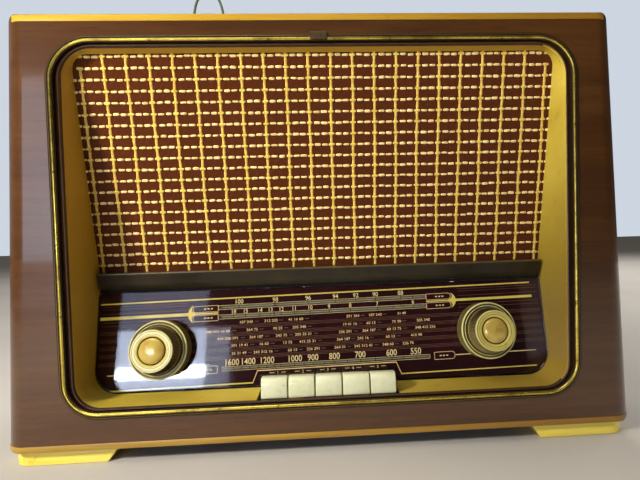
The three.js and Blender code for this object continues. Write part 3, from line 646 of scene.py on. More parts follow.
def apply_modifiers(obj):
    graph = bpy.context.evaluated_depsgraph_get()
    mesh = bpy.data.meshes.new_from_object(
        obj.evaluated_get(graph), preserve_all_data_layers=True, depsgraph=graph
    )
    old = obj.data
    obj.modifiers.clear()
    obj.data = mesh
    bpy.data.meshes.remove(old)


def cut(obj, cutter):
    tool = cutter.to_object("cutter")
    boolean = obj.modifiers.new("cut", "BOOLEAN")
    boolean.operation = "DIFFERENCE"
    boolean.solver = "EXACT"
    boolean.object = tool
    bpy.context.view_layer.update()
    apply_modifiers(obj)
    bpy.data.objects.remove(tool)


# ------------------------------------------------------------------ outlines
def rectangle(x0, x1, y0, y1):
    return [(x0, y0), (x1, y0), (x1, y1), (x0, y1)]


def circle(x, y, r, n):
    angles = [2 * math.pi * i / n for i in range(n)]
    return [(x + r * math.cos(a), y + r * math.sin(a)) for a in angles]


def rounded(points, radii, steps):
    """A polygon with rounded corners; radii is one number or one per corner."""
    out, n = [], len(points)
    for i in range(n):
        r = radii[i] if isinstance(radii, (list, tuple)) else radii
        corner = Vector(points[i])
        before = (Vector(points[i - 1]) - corner).normalized()
        after = (Vector(points[(i + 1) % n]) - corner).normalized()
        half = math.acos(max(-1, min(1, before.dot(after)))) / 2
        reach = r / math.tan(half)
        centre = corner + (before + after).normalized() * (r / math.sin(half))
        start, end = corner + before * reach, corner + after * reach
        a0 = math.atan2(start.y - centre.y, start.x - centre.x)
        a1 = math.atan2(end.y - centre.y, end.x - centre.x)
        while a1 - a0 > math.pi:
            a1 -= 2 * math.pi
        while a1 - a0 < -math.pi:
            a1 += 2 * math.pi
        for k in range(steps + 1):
            a = a0 + (a1 - a0) * k / steps
            out.append((centre.x + r * math.cos(a), centre.y + r * math.sin(a)))
    return out


def rounded_box(x0, x1, y0, y1, radii, steps=6):
    return rounded(rectangle(x0, x1, y0, y1), radii, steps)


def fill_sides(arcs):
    """Joins four corner arcs with evenly divided straight sides."""
    out = []
    for i, steps in enumerate(SIDE_STEPS):
        out += arcs[i]
        (x0, y0), (x1, y1) = arcs[i][-1], arcs[(i + 1) % 4][0]
        out += [
            (x0 + (x1 - x0) * k / steps, y0 + (y1 - y0) * k / steps) for k in range(1, steps)
        ]
    return out


def contour(half, taper, bottom, top, top_r, bottom_r):
    """A tapered outline as (x, layout z), always with the same number of points."""
    low, high = half + taper * (bottom - MID_Z), half + taper * (top - MID_Z)
    corners = [(-low, bottom), (low, bottom), (high, top), (-high, top)]
    flat = rounded(corners, [bottom_r, bottom_r, top_r, top_r], CORNER_STEPS)
    n = CORNER_STEPS + 1
    return fill_sides([flat[i * n : (i + 1) * n] for i in range(4)])


def opening(outline, inset):
    half, bottom, top, top_r, bottom_r = outline
    return contour(
        half - inset, TAPER, bottom + inset, top - inset, top_r - inset, bottom_r - inset
    )


def at_depth(loop, y):
    return [at_case(x, y, up(z)) for x, z in loop]


# ------------------------------------------------------------------ case
def clamp(value, low, high):
    return max(low, min(high, value))


def case_loop(y, edge=0.0, inset=0.0):
    """Outside of the case at depth y; edge trims top and bottom, inset trims the sides."""
    half = HALF_W
    if y < FRONT_R:
        half = HALF_W - FRONT_R + math.sqrt(max(0.0, FRONT_R**2 - (FRONT_R - y) ** 2))
    half -= inset
    arc_x = HALF_W - CORNER_R
    first = math.acos(clamp((half - arc_x) / CORNER_R, 0.0, 1.0)) if half > arc_x else math.pi / 2

    def corner(side, level, angle):
        x = min(half, arc_x + CORNER_R * math.cos(angle)) if half > arc_x else half
        rise = CORNER_R * math.sin(angle)
        z = CASE_TOP - CORNER_R + rise if level > 0 else CASE_BOTTOM + CORNER_R - rise
        return (side * x, clamp(z, CASE_BOTTOM + edge, CASE_TOP - edge))

    rising = [first + (math.pi / 2 - first) * k / CORNER_STEPS for k in range(CORNER_STEPS + 1)]
    falling = rising[::-1]
    corners = ((-1, -1, rising), (1, -1, falling), (1, 1, rising), (-1, 1, falling))
    arcs = [[corner(side, level, a) for a in angles] for side, level, angles in corners]
    return [at_case(x, y, z) for x, z in fill_sides(arcs)]


def cavity(y, grow=0.0):
    bottom, top = CASE_BOTTOM + WALL - DATUM - grow, CASE_TOP - WALL - DATUM + grow
    return at_depth(contour(HALF_W - WALL + grow, 0, bottom, top, 1.5, 1.5), y)


# growth of the opening and depth, from the inside of the front to its face
loops = [
    at_depth(opening(HOLE, -grow), y)
    for grow, y in ((0, 14), (0, 0.5), (0.15, 0.15), (0.5, 0), (2, 0))
]
flat_x = HALF_W - FRONT_R - 1.5
loops.append([
    at_case(
        clamp(p.x * 1000, -flat_x, flat_x), 0, clamp(p.z * 1000, CASE_BOTTOM + 2.7, CASE_TOP - 2.7)
    )
    for p in case_loop(0.0)
])
for y in (0.0, 0.08, 0.3, 0.65):
    loops.append(case_loop(y, EDGE_R - math.sqrt(max(0.0, EDGE_R**2 - (EDGE_R - y) ** 2))))
start = math.acos(1 - EDGE_R / FRONT_R)
for k in range(13):
    loops.append(case_loop(FRONT_R * (1 - math.cos(start + (math.pi / 2 - start) * k / 12))))
for y in (60, 120, 180, DEPTH - 2.5, DEPTH - 0.8):
    loops.append(case_loop(y))
loops.append(case_loop(DEPTH, 0.8, 0.8))
veneered = len(loops) - 1
loops += [cavity(DEPTH, 0.6), cavity(DEPTH - 0.6), cavity(DEPTH - 20), cavity(120), cavity(14)]
case = Shape()
case.loft(loops, [0] * veneered + [2] * (len(loops) - veneered), closed=True)
# raw wood blocks in the rear corners
for side in (-1, 1):
    for z0, z1 in ((22, 44), (350, 372)):
        x0, x1 = sorted((side * (HALF_W - 32), side * (HALF_W - 9)))
        case.brick(x0, x1, 202, 225.7, z0, z1, index=2)
key_notch = Shape()
key_notch.brick(-63, 63, 3, 19, up(17.5), up(29))
shell = case.make(
    "walnut_case", "walnut_front walnut_side raw_wood", "walnut", "cabinet_shell",
    cutter=key_notch,
)
for polygon in shell.data.polygons:
    if polygon.material_index == 0 and abs(polygon.normal.x) > 0.72:
        polygon.material_index = 1
shade(shell, 30)
even = shell.modifiers.new("even", "WEIGHTED_NORMAL")
even.keep_sharp = True
even.weight = 100


# ------------------------------------------------------------------ light strips and feet
def edge_strip(name, node, wrap, top, bottom_at, material):
    """A light strip let into the rounded front; bottom_at gives its lower edge at |x|."""
    wrap = math.radians(wrap)
    flat = HALF_W - FRONT_R
    left = [-wrap + wrap * k / 12 for k in range(13)]
    right = [wrap * k / 12 for k in range(13)]

    def turn(side, t):
        return (side * flat + FRONT_R * math.sin(t), FRONT_R * (1 - math.cos(t)), t)

    path = [turn(-1, t) for t in left]
    path += [(-flat + 2 * flat * k / 24, 0.0, 0.0) for k in range(1, 24)]
    path += [turn(1, t) for t in right]
    loops = []
    for x, y, t in path:
        bottom = bottom_at(abs(x))
        height = max(0.02, top - bottom)
        c = min(0.35, height * 0.3)
        section = [  # (distance out of the case, z)
            (-0.7, bottom), (0.2, bottom), (0.42, bottom + c * 0.35), (0.5, bottom + c),
            (0.5, top - c), (0.42, top - c * 0.35), (0.2, top), (-0.7, top),
        ]
        loops.append([
            at_case(x + math.sin(t) * out, y - math.cos(t) * out, z) for out, z in section
        ])
    strip = Shape()
    strip.loft(loops, caps=True)
    strip.make(name, material, "pale_wood", node, smooth=40)


def case_underside(x):
    return CASE_BOTTOM + CORNER_R - math.sqrt(
        max(0.0, CORNER_R**2 - max(0.0, x - (HALF_W - CORNER_R)) ** 2)
    )


strip_bottom, strip_top = box_mm("top_edge_strip")[4:]
edge_strip(
    "top_light_strip", "top_edge_strip", 27, strip_top, lambda x: strip_bottom, "golden_strip"
)
low_strip_top = box_mm("bottom_edge_strip")[5]
# the lower strip takes the darker copy of the strip wood: painted shade
edge_strip(
    "bottom_light_strip", "bottom_edge_strip", 60.5, low_strip_top, case_underside,
    "golden_strip_low",
)

# feet: slope inwards at their inner ends, rounded at the outer front corner
for node in ("foot_front_left", "foot_front_right", "foot_rear_left", "foot_rear_right"):
    x0, x1, y0, y1, z0, z1 = box_mm(node)
    side = -1 if x1 < 0 else 1
    outer_x, inner_x = max(abs(x0), abs(x1)), min(abs(x0), abs(x1))
    corner_r = 16.0 if "front" in node else 2.0
    levels = (  # z, inset
        (z0, 0.8), (z0 + 0.25, 0.25), (z0 + 0.9, 0.0),
        ((z0 + z1) / 2, 0.0), (z1 - 0.5, 0.0), (z1, 0.3),
    )
    loops = []
    for z, inset in levels:
        slope = inner_x + 9 * (1 - (z - z0) / (z1 - z0))
        radii = [0.8, corner_r - inset, 1.6, 0.8]
        loop = rounded_box(slope + inset, outer_x - inset, y0 + inset, y1 - inset, radii, 8)
        loops.append([at_case(side * x, y, z) for x, y in loop])
    foot = Shape()
    foot.loft(loops, caps=True)
    foot.make("wood_" + node, "foot_wood", "pale_wood", node, smooth=40)

# ------------------------------------------------------------------ brass moulding
# inset from the outer edge, y, material slot of the band up to the next point
BEZEL_PROFILE = [
    (0.0, -0.3, 1), (0.0, -0.6, 1), (0.2, -0.75, 1), (1.0, -0.8, 1), (1.15, -1.25, 2),
    (1.4, -1.5, 2), (1.9, -1.5, 1), (2.1, -1.2, 1), (2.25, -0.95, 1), (2.7, -0.95, 1),
    (2.9, -1.35, 2), (3.2, -2.1, 0), (3.7, -2.75, 0), (4.3, -3.1, 0), (4.9, -3.1, 0),
    (5.4, -2.85, 0), (5.9, -2.2, 1), (6.2, -1.5, 1), (6.5, -1.1, 1), (6.5, -0.3, 1),
]
bezel = Shape()
bezel.loft(
    [at_depth(opening(BEZEL, inset), y) for inset, y, _ in BEZEL_PROFILE],
    [index for _, _, index in BEZEL_PROFILE],
    closed=True,
)
bezel.make(
    "brass_bezel", "brass_moulding bezel_patina bezel_fine_line", "brass_moulding",
    "bezel_moulding", smooth=50,
)

x0, x1, y0, y1, z0, z1 = box_mm("bezel_joint_cover")
profile = [  # y, z
    (y0 + 0.25, z0 + 0.35), (y0, z0 + 1.0), (y0, z1 - 1.2), (y0 + 0.35, z1 - 0.35),
    (y0 + 1.0, z1), (y1, z1), (y1, z1 - 0.8), (y0 + 1.3, z1 - 0.9),
    (y0 + 1.3, z0 + 0.8), (y1 - 0.9, z0 + 0.8), (y1 - 0.9, z0),
]
stations = [  # x, how far the front is set back
    (x0, 0.45), (x0 + 0.15, 0.12), (x0 + 0.6, 0.0), (x0 + 3, 0.0), (0, 0.0),
    (x1 - 3, 0.0), (x1 - 0.6, 0.0), (x1 - 0.15, 0.12), (x1, 0.45),
]
clip = Shape()
clip.loft(
    [
        [at_case(x, y + (sink if y < y0 + 1.2 else 0), z) for y, z in profile]
        for x, sink in stations
    ],
    caps=True,
)
STUD = [(0, 1.0), (1.0, 1.0), (1.0, 0.12), (0.75, 0.0), (0, 0.02)]  # radius, y from the front
for side in (-1, 1):
    clip.lathe(
        [(r, y0 + y) for r, y in STUD], lambda x, z, y: at_case(x, y, z),
        side * 5.0, (z0 + z1) / 2, 16,
    )
clip.make("bezel_clip", "clip_bronze", "clip_metal", "bezel_joint_cover", smooth=40)


# ------------------------------------------------------------------ moulded frame
def wall_back(z):
    """Depth at which the frame's wall meets the cloth or the glass, at layout z."""
    cloth = CLOTH_Y + (CLOTH_Z - z) * (CLOTH_SIN / CLOTH_COS) - 0.25
    glass = DIAL_Y + (z - DIAL_Z) * (DIAL_SIN / DIAL_COS) - 0.3
    if z >= 136:
        return cloth
    if z <= 122:
        return glass
    return glass + (cloth - glass) * (z - 122) / 14


def end_shift(z, low, high, below, above):
    """Height change outside low..high: below at the lower end, above at the upper end."""
    if low < z < high:
        return 0
    return below if z < MID_Z else above


RIM_PROFILE = [  # inset, y
    (-3.6, 9), (-3.9, 8.6), (-3.9, 3.0), (-3.7, 2.7), (-0.5, 2.3),
    (0, 1.9), (0.25, 1.2), (0.8, 0.85), (1.3, 0.95), (1.7, 1.35),
]
WALL_INSET, WALL_Y = RIM_PROFILE[-1]  # where the wall starts at the front
front_loop = opening(RIM, WALL_INSET)
rear_loop = contour(215.5, 0.0135, 31.7, 335.8, 14, 22)
wall_pairs = list(zip(front_loop, rear_loop))
loops = [at_depth(opening(RIM, inset), y) for inset, y in RIM_PROFILE]
# y and inward step: a fine step near the front of the wall marks the start of the gold
for y, step in ((2.3, 0.0), (3.3, 0.0), (3.5, 0.25)):
    ring = []
    for (fx, fz), (rx, rz) in wall_pairs:
        t = (y - WALL_Y) / (wall_back(rz) - WALL_Y)
        x = fx + (rx - fx) * t - math.copysign(step if abs(fx) > 195 else 0, fx)
        z = fz + (rz - fz) * t + end_shift(fz, 50, 320, step, -step)
        ring.append(at_case(x, y, up(z)))
    loops.append(ring)
for t in (0.3, 0.45, 0.6, 0.8, 1.0):
    loops.append([
        at_case(fx + (rx - fx) * t, WALL_Y + (wall_back(rz) - WALL_Y) * t, up(fz + (rz - fz) * t))
        for (fx, fz), (rx, rz) in wall_pairs
    ])
# the outside of the wall, rear edge and then front edge
loops.append([
    at_case(x * 1.014, wall_back(z), up(z + end_shift(z, 40, 330, -2.4, 3.0)))
    for x, z in rear_loop
])
loops.append([
    at_case(x * 1.016, 9.5, up(z + end_shift(z, 60, 310, -1.9, 2.0))) for x, z in front_loop
])
moulding = Shape()
# the rim and the front of the wall are dark brown: painted shade next to the bezel
moulding.loft(loops, [1] * 12 + [0] * (len(loops) - 12), closed=True)
# at the right, where the wall is lit, the gold of the wall starts at the rim itself, without the
# painted shade
for k, face in enumerate(moulding.faces):
    if k // len(loops[0]) in (9, 10, 11) and moulding.verts[face[0]].x > 0.205:
        moulding.indices[k] = 0
key_slot = Shape()
key_slot.brick(-62, 62, 3.4, 62, up(18), up(42))
moulding.make(
    "moulded_frame", "escutcheon_gold frame_edge_dark", "escutcheon", "inner_frame",
    smooth=38, cutter=key_slot,
)

# shelf between cloth and glass
x0, x1, y0, y1, z0, z1 = box_mm("shelf_bar")
profile = [  # y, z
    (y1, z0), (y0 + 7.4, z0), (y0 + 6.7, z0 + 0.5), (y0 + 4.2, z0 + 6), (y0 + 1.3, z1 - 3.4),
    (y0 + 0.1, z1 - 1.6), (y0, z1 - 0.8), (y0 + 0.3, z1 - 0.15), (y0 + 0.9, z1), (y1, z1),
]
middle_x = [x0 + (x1 - x0) * k / 12 for k in range(1, 12)]
shelf = Shape()
shelf.loft(
    [[at_case(x, y, z) for y, z in profile] for x in [x0, x0 + 0.6, *middle_x, x1 - 0.6, x1]],
    caps=True,
)
# painted highlight: the rounded top front edge is lighter
for k in range(len(shelf.faces) - 2):
    if k % len(profile) in (5, 6, 7):
        shelf.indices[k] = 1
shelf.make("shelf_moulding", "shelf_bronze shelf_edge", "shelf", "shelf_bar", smooth=40)

# ------------------------------------------------------------------ grille cloth
COLUMN_PITCH, ROW_PITCH = 20.09, 10.02
x0, x1 = box_mm("grille_cloth")[:2]
cloth_low, cloth_high = -(CLOTH_Z - 134) / CLOTH_COS, 3.6
ground = Shape()
ground.prism(
    rounded_box(x0, x1, cloth_low, cloth_high, [3, 3, 16, 16], 8), at_cloth, -1.3, -0.02
)
ground.make("cloth_ground", "cloth_ground", "grille_cloth", "grille_cloth")


def column_x(column):
    return -10.05 + COLUMN_PITCH * column


def wander(column, rise):
    """Sideways drift of a warp thread."""
    return 0.28 * math.sin(rise * 0.047 + column * 1.7) + 0.16 * math.sin(rise * 0.31 + column * 2.9)


# fractions of a warp thread's half width and height
WARP_SECTION = [(-1, 0), (-0.8, 0.6), (-0.3, 1), (0.3, 1), (0.8, 0.6), (1, 0)]
WARP_STEPS = 100
warps = Shape()
for column in range(-10, 12):
    loops = []
    for k in range(WARP_STEPS + 1):
        rise = cloth_low + 0.4 + (cloth_high - 0.6 - cloth_low) * k / WARP_STEPS
        x = column_x(column) + wander(column, rise)
        half = 1.22 + 0.12 * math.sin(rise * 0.9 + column)
        height = 0.62 + 0.12 * math.sin(rise * 2 * math.pi / ROW_PITCH + 1.2)
        if rise > -7 and abs(x) > 206:
            continue  # clear of the rounded top corners
        loops.append([at_cloth(x + half * a, rise, height * b) for a, b in WARP_SECTION])
    warps.loft(loops, caps=True)
warps.make("cloth_warp_threads", "warp_thread", "grille_cloth", smooth=50, merge=False)


def pad(shape, x, rise, half_x, half_rise, height, turn, base=0.0):
    """A short float of thread: an oval pad."""
    n = 10
    rings = []
    for size, out in ((1.0, base), (0.94, base + height * 0.55), (0.68, base + height * 0.92)):
        ring = []
        for i in range(n):
            t = 2 * math.pi * i / n
            c, s = math.cos(t), math.sin(t)
            px = half_x * size * math.copysign(abs(c) ** 0.55, c)
            py = half_rise * size * math.copysign(abs(s) ** 0.7, s)
            dx = px * math.cos(turn) - py * math.sin(turn)
            ring.append(at_cloth(x + dx, rise + px * math.sin(turn) + py * math.cos(turn), out))
        rings.append(ring)
    start = len(shape.verts)
    shape.loft(rings)
    shape.fan(at_cloth(x, rise, base + height), start + 2 * n, n)
    shape.add_face(tuple(reversed(range(start, start + n))))


vary = draws.uniform
floats, knots = Shape(), Shape()
for row in range(0, 21):
    rise = -ROW_PITCH * row
    if rise < cloth_low + 1.5:
        continue
    limit = 218 if row > 1 else 213
    for column in range(-11, 12):
        drift = wander(column, rise)
        x = column_x(column) + drift
        if column >= -10 and abs(x) < limit:
            pad(
                knots,
                x=x + vary(-0.2, 0.2),
                rise=rise + vary(-0.15, 0.15),
                half_x=2.85 + vary(-0.3, 0.3),
                half_rise=1.25 + vary(-0.12, 0.12),
                height=0.35,
                turn=vary(-0.06, 0.06),
                base=0.55,
            )
        for third in (1, 2):
            x = column_x(column) + COLUMN_PITCH * third / 3 + drift * 0.6
            if abs(x) > limit:
                continue
            pad(
                floats,
                x=x + vary(-0.25, 0.25),
                rise=rise + vary(-0.3, 0.3),
                half_x=3.0 + vary(-0.25, 0.2),
                half_rise=1.15 + vary(-0.15, 0.25),
                height=0.75 + vary(-0.1, 0.15),
                turn=vary(-0.05, 0.05),
            )
floats.make("cloth_cream_floats", "float_thread", "grille_cloth", smooth=60, merge=False)
knots.make("cloth_knots", "knot_thread", "grille_cloth", smooth=60, merge=False)

# ------------------------------------------------------------------ dial glass and print ground
# x and rise of the knobs, from left to right
KNOBS = sorted(
    (
        joint["pos_m"][0] * 1000,
        ((joint["pos_m"][1] - FRONT_Y) * 1000 - DIAL_Y) * DIAL_SIN
        + (joint["pos_m"][2] * 1000 - up(DIAL_Z)) * DIAL_COS,
    )
    for joint in frame["joints"]
    if joint["name"] in ("volume_turn", "tuning_turn")
)
# scale windows, top to bottom: lower and upper edge, left and right end
WINDOWS = TOP_WINDOW, MIDDLE_WINDOW, LOW_WINDOW = (
    (68.0, 70.8, -102, 98), (59.1, 61.9, -102, 98), (11.2, 13.8, -98, 98),
)


def dial_cutter(notch_top, hole_r):
    """Clears the notch over the keys and the two knob holes."""
    cutter = Shape()
    cutter.brick(-64, 64, -20, notch_top, -10, 10, place=at_dial)
    for x, rise in KNOBS:
        cutter.prism(circle(x, rise, hole_r, 40), at_dial, -10, 10)
    return cutter


glass = Shape()
glass.prism(rounded_box(-215, 215, -5.2, 85, [22, 22, 2, 2], 12), at_dial, -3, 0)
glass.make(
    "dial_glass_sheet", "dial_glass", "dial_glass", "dial_glass",
    cutter=dial_cutter(notch_top=4, hole_r=8), bevel=0.35,
)

cutter = dial_cutter(notch_top=4.2, hole_r=8.2)
for low, high, left, right in WINDOWS:
    cutter.prism(rectangle(left, right, low, high), at_print, -6, 0)
ground = Shape()
ground.prism(
    rounded_box(-214.6, 214.6, -4.9, 84.6, [21.6, 21.6, 1.6, 1.6], 12), at_dial, -3.3, -3.16
)
ground.make("dial_print_ground", "dial_print", "dial_glass", cutter=cutter)

# ------------------------------------------------------------------ dial printing
PRINT = (-3.15, -3.09)  # back and front of the printed marks
PIN_PRINT = (-3.155, -3.12)
TICK_PRINT = (-3.2, -3.1)
SCALE_PRINT = (-3.22, -3.2)
SPLIT_RISE = 64.5  # height of the thick line that splits round the label boxes


def line(shape, x0, rise0, x1, rise1, width, layer=PRINT):
    """A printed line from one point to another."""
    along = Vector((x1 - x0, rise1 - rise0)).normalized() * (width / 2)
    nx, ns = -along.y, along.x
    outline = [
        (x0 - nx, rise0 - ns), (x1 - nx, rise1 - ns), (x1 + nx, rise1 + ns), (x0 + nx, rise0 + ns),
    ]
    shape.prism(outline, at_print, *layer)


def line_box(shape, x0, x1, low, high, radii, width):
    """A printed rounded outline, width inwards from its edges."""
    inner_radii = [max(0.05, r - width) for r in radii]
    outer = rounded_box(x0, x1, low, high, radii)
    inner = rounded_box(x0 + width, x1 - width, low + width, high - width, inner_radii)
    back, front = PRINT
    sides = ((outer, front), (outer, back), (inner, back), (inner, front))
    shape.loft([[at_print(x, s, level) for x, s in loop] for loop, level in sides], closed=True)


def make_print(shape, name, material):
    shape.make(name, material, "dial_glass", merge=False)


gold = Shape()
for row in (  # x, rise, x, rise, width
    (-213.5, 78, 205, 78, 1.3),
    (-213.5, SPLIT_RISE, -129, SPLIT_RISE, 2.9),
    (129, SPLIT_RISE, 206, SPLIT_RISE, 2.4),
    (-126, SPLIT_RISE, -103.2, SPLIT_RISE, 1.3),
    (99.2, SPLIT_RISE, 123, SPLIT_RISE, 1.1),
):
    line(gold, *row)
# crescents where the thick line splits round the two label boxes: x, rise of the inner side
CRESCENT_INNER = [
    (127.3, 7.0), (128.4, 4.4), (127.6, 2.3), (124.2, 0.7),
    (124.2, -0.7), (127.6, -2.3), (128.4, -4.4), (127.3, -7.0),
]
for side, half_height in ((-1, 8.6), (1, 7.6)):
    points = []
    for k in range(17):
        a = math.radians(-64 + 128 * k / 16)
        rise = half_height * math.sin(a) / math.sin(math.radians(64))
        points.append((122.2 + 9.6 * math.cos(a), rise))
    points = [
        (-x if side < 0 else x - 3.0, SPLIT_RISE + rise) for x, rise in points + CRESCENT_INNER
    ]
    gold.prism(points if side > 0 else points[::-1], at_print, *PRINT)
diamond = [(122.6, SPLIT_RISE), (126.8, 67.0), (131.4, SPLIT_RISE), (126.8, 62.0)]
gold.prism(diamond, at_print, PRINT[0], PRINT[1] + 0.02)
line(gold, -200, -1.4, -70, -1.4, 1.25)
line(gold, 70, -1.8, 203, -1.8, 1.1)
make_print(gold, "dial_gold_lines", "gold_line")

fine = Shape()
for row in (  # x, rise, x, rise, width
    (-70.3, -1.4, -65.8, 9.4, 0.7),
    (70.3, -1.4, 65.8, 9.4, 0.7),
    (-66, 9.1, 66, 9.1, 0.9),
    (124, 12.5, 204, 12.5, 0.8),
    (-204, 12.5, -124, 12.5, 0.8),
):
    line(fine, *row)
for row in (  # left, right, low, high, corner radii
    (-127.2, -103.2, 65.7, 71.9, (3.0, 0.4, 0.4, 3.0)),
    (-127.2, -103.2, 57.1, 63.3, (3.0, 0.4, 0.4, 3.0)),
    (-123.6, -103.2, 8.9, 16.1, (0.8, 0.8, 0.8, 0.8)),
    (99.2, 124.0, 65.7, 71.9, (0.4, 3.0, 3.0, 0.4)),
    (99.2, 124.0, 57.1, 63.3, (0.4, 3.0, 3.0, 0.4)),
    (103.2, 123.6, 8.9, 16.1, (0.8, 3.0, 3.0, 0.8)),
):
    line_box(fine, *row, width=0.42)
for low, high, left, right in WINDOWS:
    line_box(fine, left - 1.0, right + 1.0, low - 0.7, high + 0.7, [0.8] * 4, width=0.35)
make_print(fine, "dial_fine_lines", "small_mark")

pins = Shape()
for centre in (50.8, 43.6, 36.7, 29.7, 22.3):
    for offset in (-1.25, 0.0, 1.25):
        line(pins, -213, centre + offset, 213, centre + offset, 0.42, PIN_PRINT)
for rise in (75.2, 72.9, 57.2, 68.5, 60.5):
    for side in (-1, 1):
        line(pins, side * 131, rise, side * 212, rise, 0.42, PIN_PRINT)
make_print(pins, "dial_pin_lines", "pin_line")


def glyphs(body):
    """Vertices and faces of a string in the built-in font, 1 unit in size and thickness."""
    curve = bpy.data.curves.new("glyph", "FONT")
    curve.body = body
    curve.size = 1.0
    curve.align_x = "CENTER"
    curve.resolution_u = 3
    curve.extrude = 0.5
    curve.offset = 0.01
    obj = bpy.data.objects.new("glyph", curve)
    scene.collection.objects.link(obj)
    bpy.context.view_layer.update()
    graph = bpy.context.evaluated_depsgraph_get()
    mesh = bpy.data.meshes.new_from_object(obj.evaluated_get(graph), depsgraph=graph)
    verts = [v.co.copy() for v in mesh.vertices]
    faces = [tuple(p.vertices) for p in mesh.polygons]
    bpy.data.meshes.remove(mesh)
    bpy.data.objects.remove(obj)
    bpy.data.curves.remove(curve)
    return verts, faces


zero = [v.y for v in glyphs("0")[0]]
DIGIT_LOW, DIGIT_HIGH = min(zero), max(zero)


def text(shape, body, x, rise, height, squeeze=1.0):
    """Digits of a height in mm, centred at x and rise."""
    verts, faces = glyphs(body)
    scale = height / (DIGIT_HIGH - DIGIT_LOW)
    back, front = PRINT
    placed = [
        at_print(
            x + v.x * scale * squeeze,
            rise + (v.y - (DIGIT_LOW + DIGIT_HIGH) / 2) * scale,
            back + (v.z + 0.5) * (front - back),
        )
        for v in verts
    ]
    shape.add(placed, faces)


TOP_X = (-83.6, -48.7, -16.9, 9.8, 29.8, 49.0, 74.1)
MIDDLE_X = (-88.7, -77.4, -63.6, -53.6, -43.1, -30.6, -15.2, 3.2, 24.0, 50.4, 85.9)
LOW_X = (-90.1, -74.8, -57.1, -30.9, -13.5, 6.9, 31.6, 61.9, 85.5)
numerals = Shape()
for labels, places, rise, height, squeeze in (
    ("100 98 96 94 92 90 88", TOP_X, 74.3, 4.3, 0.95),
    ("18 15 14 13 12 11 10 9 8 7 6", MIDDLE_X, 65.0, 4.0, 0.9),
    ("1600 1400 1200 1000 900 800 700 600 550", LOW_X, 18.2, 5.9, 0.86),
):
    for label, x in zip(labels.split(), places):
        text(numerals, label, x, rise, height, squeeze)
make_print(numerals, "dial_numerals", "numeral_cream")

# rows of small figures, parted by dashes: rise, then (centre x, width) of each group
FIGURE_ROWS = [
    (54.6, [(-76.7, 14.1), (-53.0, 12.8), (-29.2, 15.2), (26.1, 12.7), (47.9, 12.7), (74.0, 8.2)]),
    (47.1, [(-103.6, 25.0), (-71.0, 11.4), (-46.6, 9.7), (-26.0, 13.9),
            (22.8, 14.9), (43.5, 10.0), (68.5, 9.1), (94.9, 14.3)]),
    (40.2, [(-93.9, 22.2), (-67.2, 14.4), (-43.2, 12.4), (-22.1, 18.1),
            (18.3, 14.3), (41.1, 13.9), (65.8, 15.4), (96.4, 22.0)]),
    (33.3, [(-82.7, 17.4), (-59.8, 10.2), (-37.5, 10.4), (-18.2, 17.2),
            (16.1, 12.9), (35.1, 10.8), (61.7, 9.9), (87.2, 11.8)]),
    (26.1, [(-83.3, 15.1), (-60.7, 18.9), (-32.8, 9.9), (-12.9, 13.3),
            (12.6, 11.0), (35.2, 18.8), (58.9, 11.2), (78.6, 12.6)]),
]
SHORT_FIGURES = "25 31 49 19 41 16 60 13 75 90".split()
LONG_FIGURES = "187 243 312 205 348 415 226 291 364".split()
FIGURE_HEIGHT = 2.5
small, dashes = Shape(), Shape()
count = 0
for rise, groups in FIGURE_ROWS:
    last_end = None
    for x, width in groups:
        room = max(5, round(width / 1.95))  # in characters
        figures = []
        while room > 1:
            is_long = room in (3, 6, 7) or room > 8
            source = LONG_FIGURES if is_long else SHORT_FIGURES
            figures.append(source[count % len(source)])
            room -= 4 if is_long else 3
            count += 1
        body = " ".join(figures)
        xs = [v.x for v in glyphs(body)[0]]
        natural = (max(xs) - min(xs)) * FIGURE_HEIGHT / (DIGIT_HIGH - DIGIT_LOW)
        text(small, body, x, rise, FIGURE_HEIGHT, clamp(width / natural, 0.8, 1.15))
        if last_end is not None and x - width / 2 - last_end > 5.5:
            dash_end = min(last_end + 5.0, x - width / 2 - 1.0)
            line(dashes, last_end + 1.2, rise, dash_end, rise, 0.75)
        last_end = x + width / 2
# figures over the keys, each between two dashes
for i, x in enumerate((-46.9, -23.3, 0.2, 24.2, 47.9)):
    text(small, str(i + 1), x, 6.2, 2.7)
    for side in (-1, 1):
        line(small, x + side * 3.2, 6.4, x + side * 7.6, 6.4, 0.5)
# three short marks in each label box
for side in (-1, 1):
    for rise in (68.8, 60.2, 12.5):
        for offset in (-3.2, 0, 3.2):
            x = side * 112.6 + offset
            line(small, x - 0.95, rise, x + 0.95, rise, 1.1)
make_print(small, "dial_small_figures", "small_mark")
make_print(dashes, "dial_dashes", "dash_grey")

LOW_TICKS = (
    -88, -80.5, -73, -65, -57.1, -44, -30.9, -22, -13.5, -3, 6.9, 19, 31.6, 46, 61.9, 73, 85.5,
)
ticks, scale_lines = Shape(), Shape()
for (low, high, _, _), places, width in (
    (TOP_WINDOW, (*TOP_X, 86.0), 0.55),
    (MIDDLE_WINDOW, sorted((*MIDDLE_X, 66.0)), 0.55),
    (LOW_WINDOW, LOW_TICKS, 0.5),
):
    for x in places:
        line(ticks, x, low, x, high, width, TICK_PRINT)
for low, high, left, right in WINDOWS:
    middle = (low + high) / 2
    line(scale_lines, left + 1.5, middle, right - 1.5, middle, 0.5, SCALE_PRINT)
make_print(ticks, "dial_ticks", "tick_dark")
make_print(scale_lines, "dial_scale_lines", "bar_line")

# ------------------------------------------------------------------ behind and above the glass
reflector = Shape()
reflector.brick(-106, 102, 51, 75, -8.95, -8.6, place=at_dial)
reflector.brick(-102, 102, 6.5, 17, -8.95, -8.6, place=at_dial)
reflector.make("dial_reflector_bars", "light_bar", "dial_back")

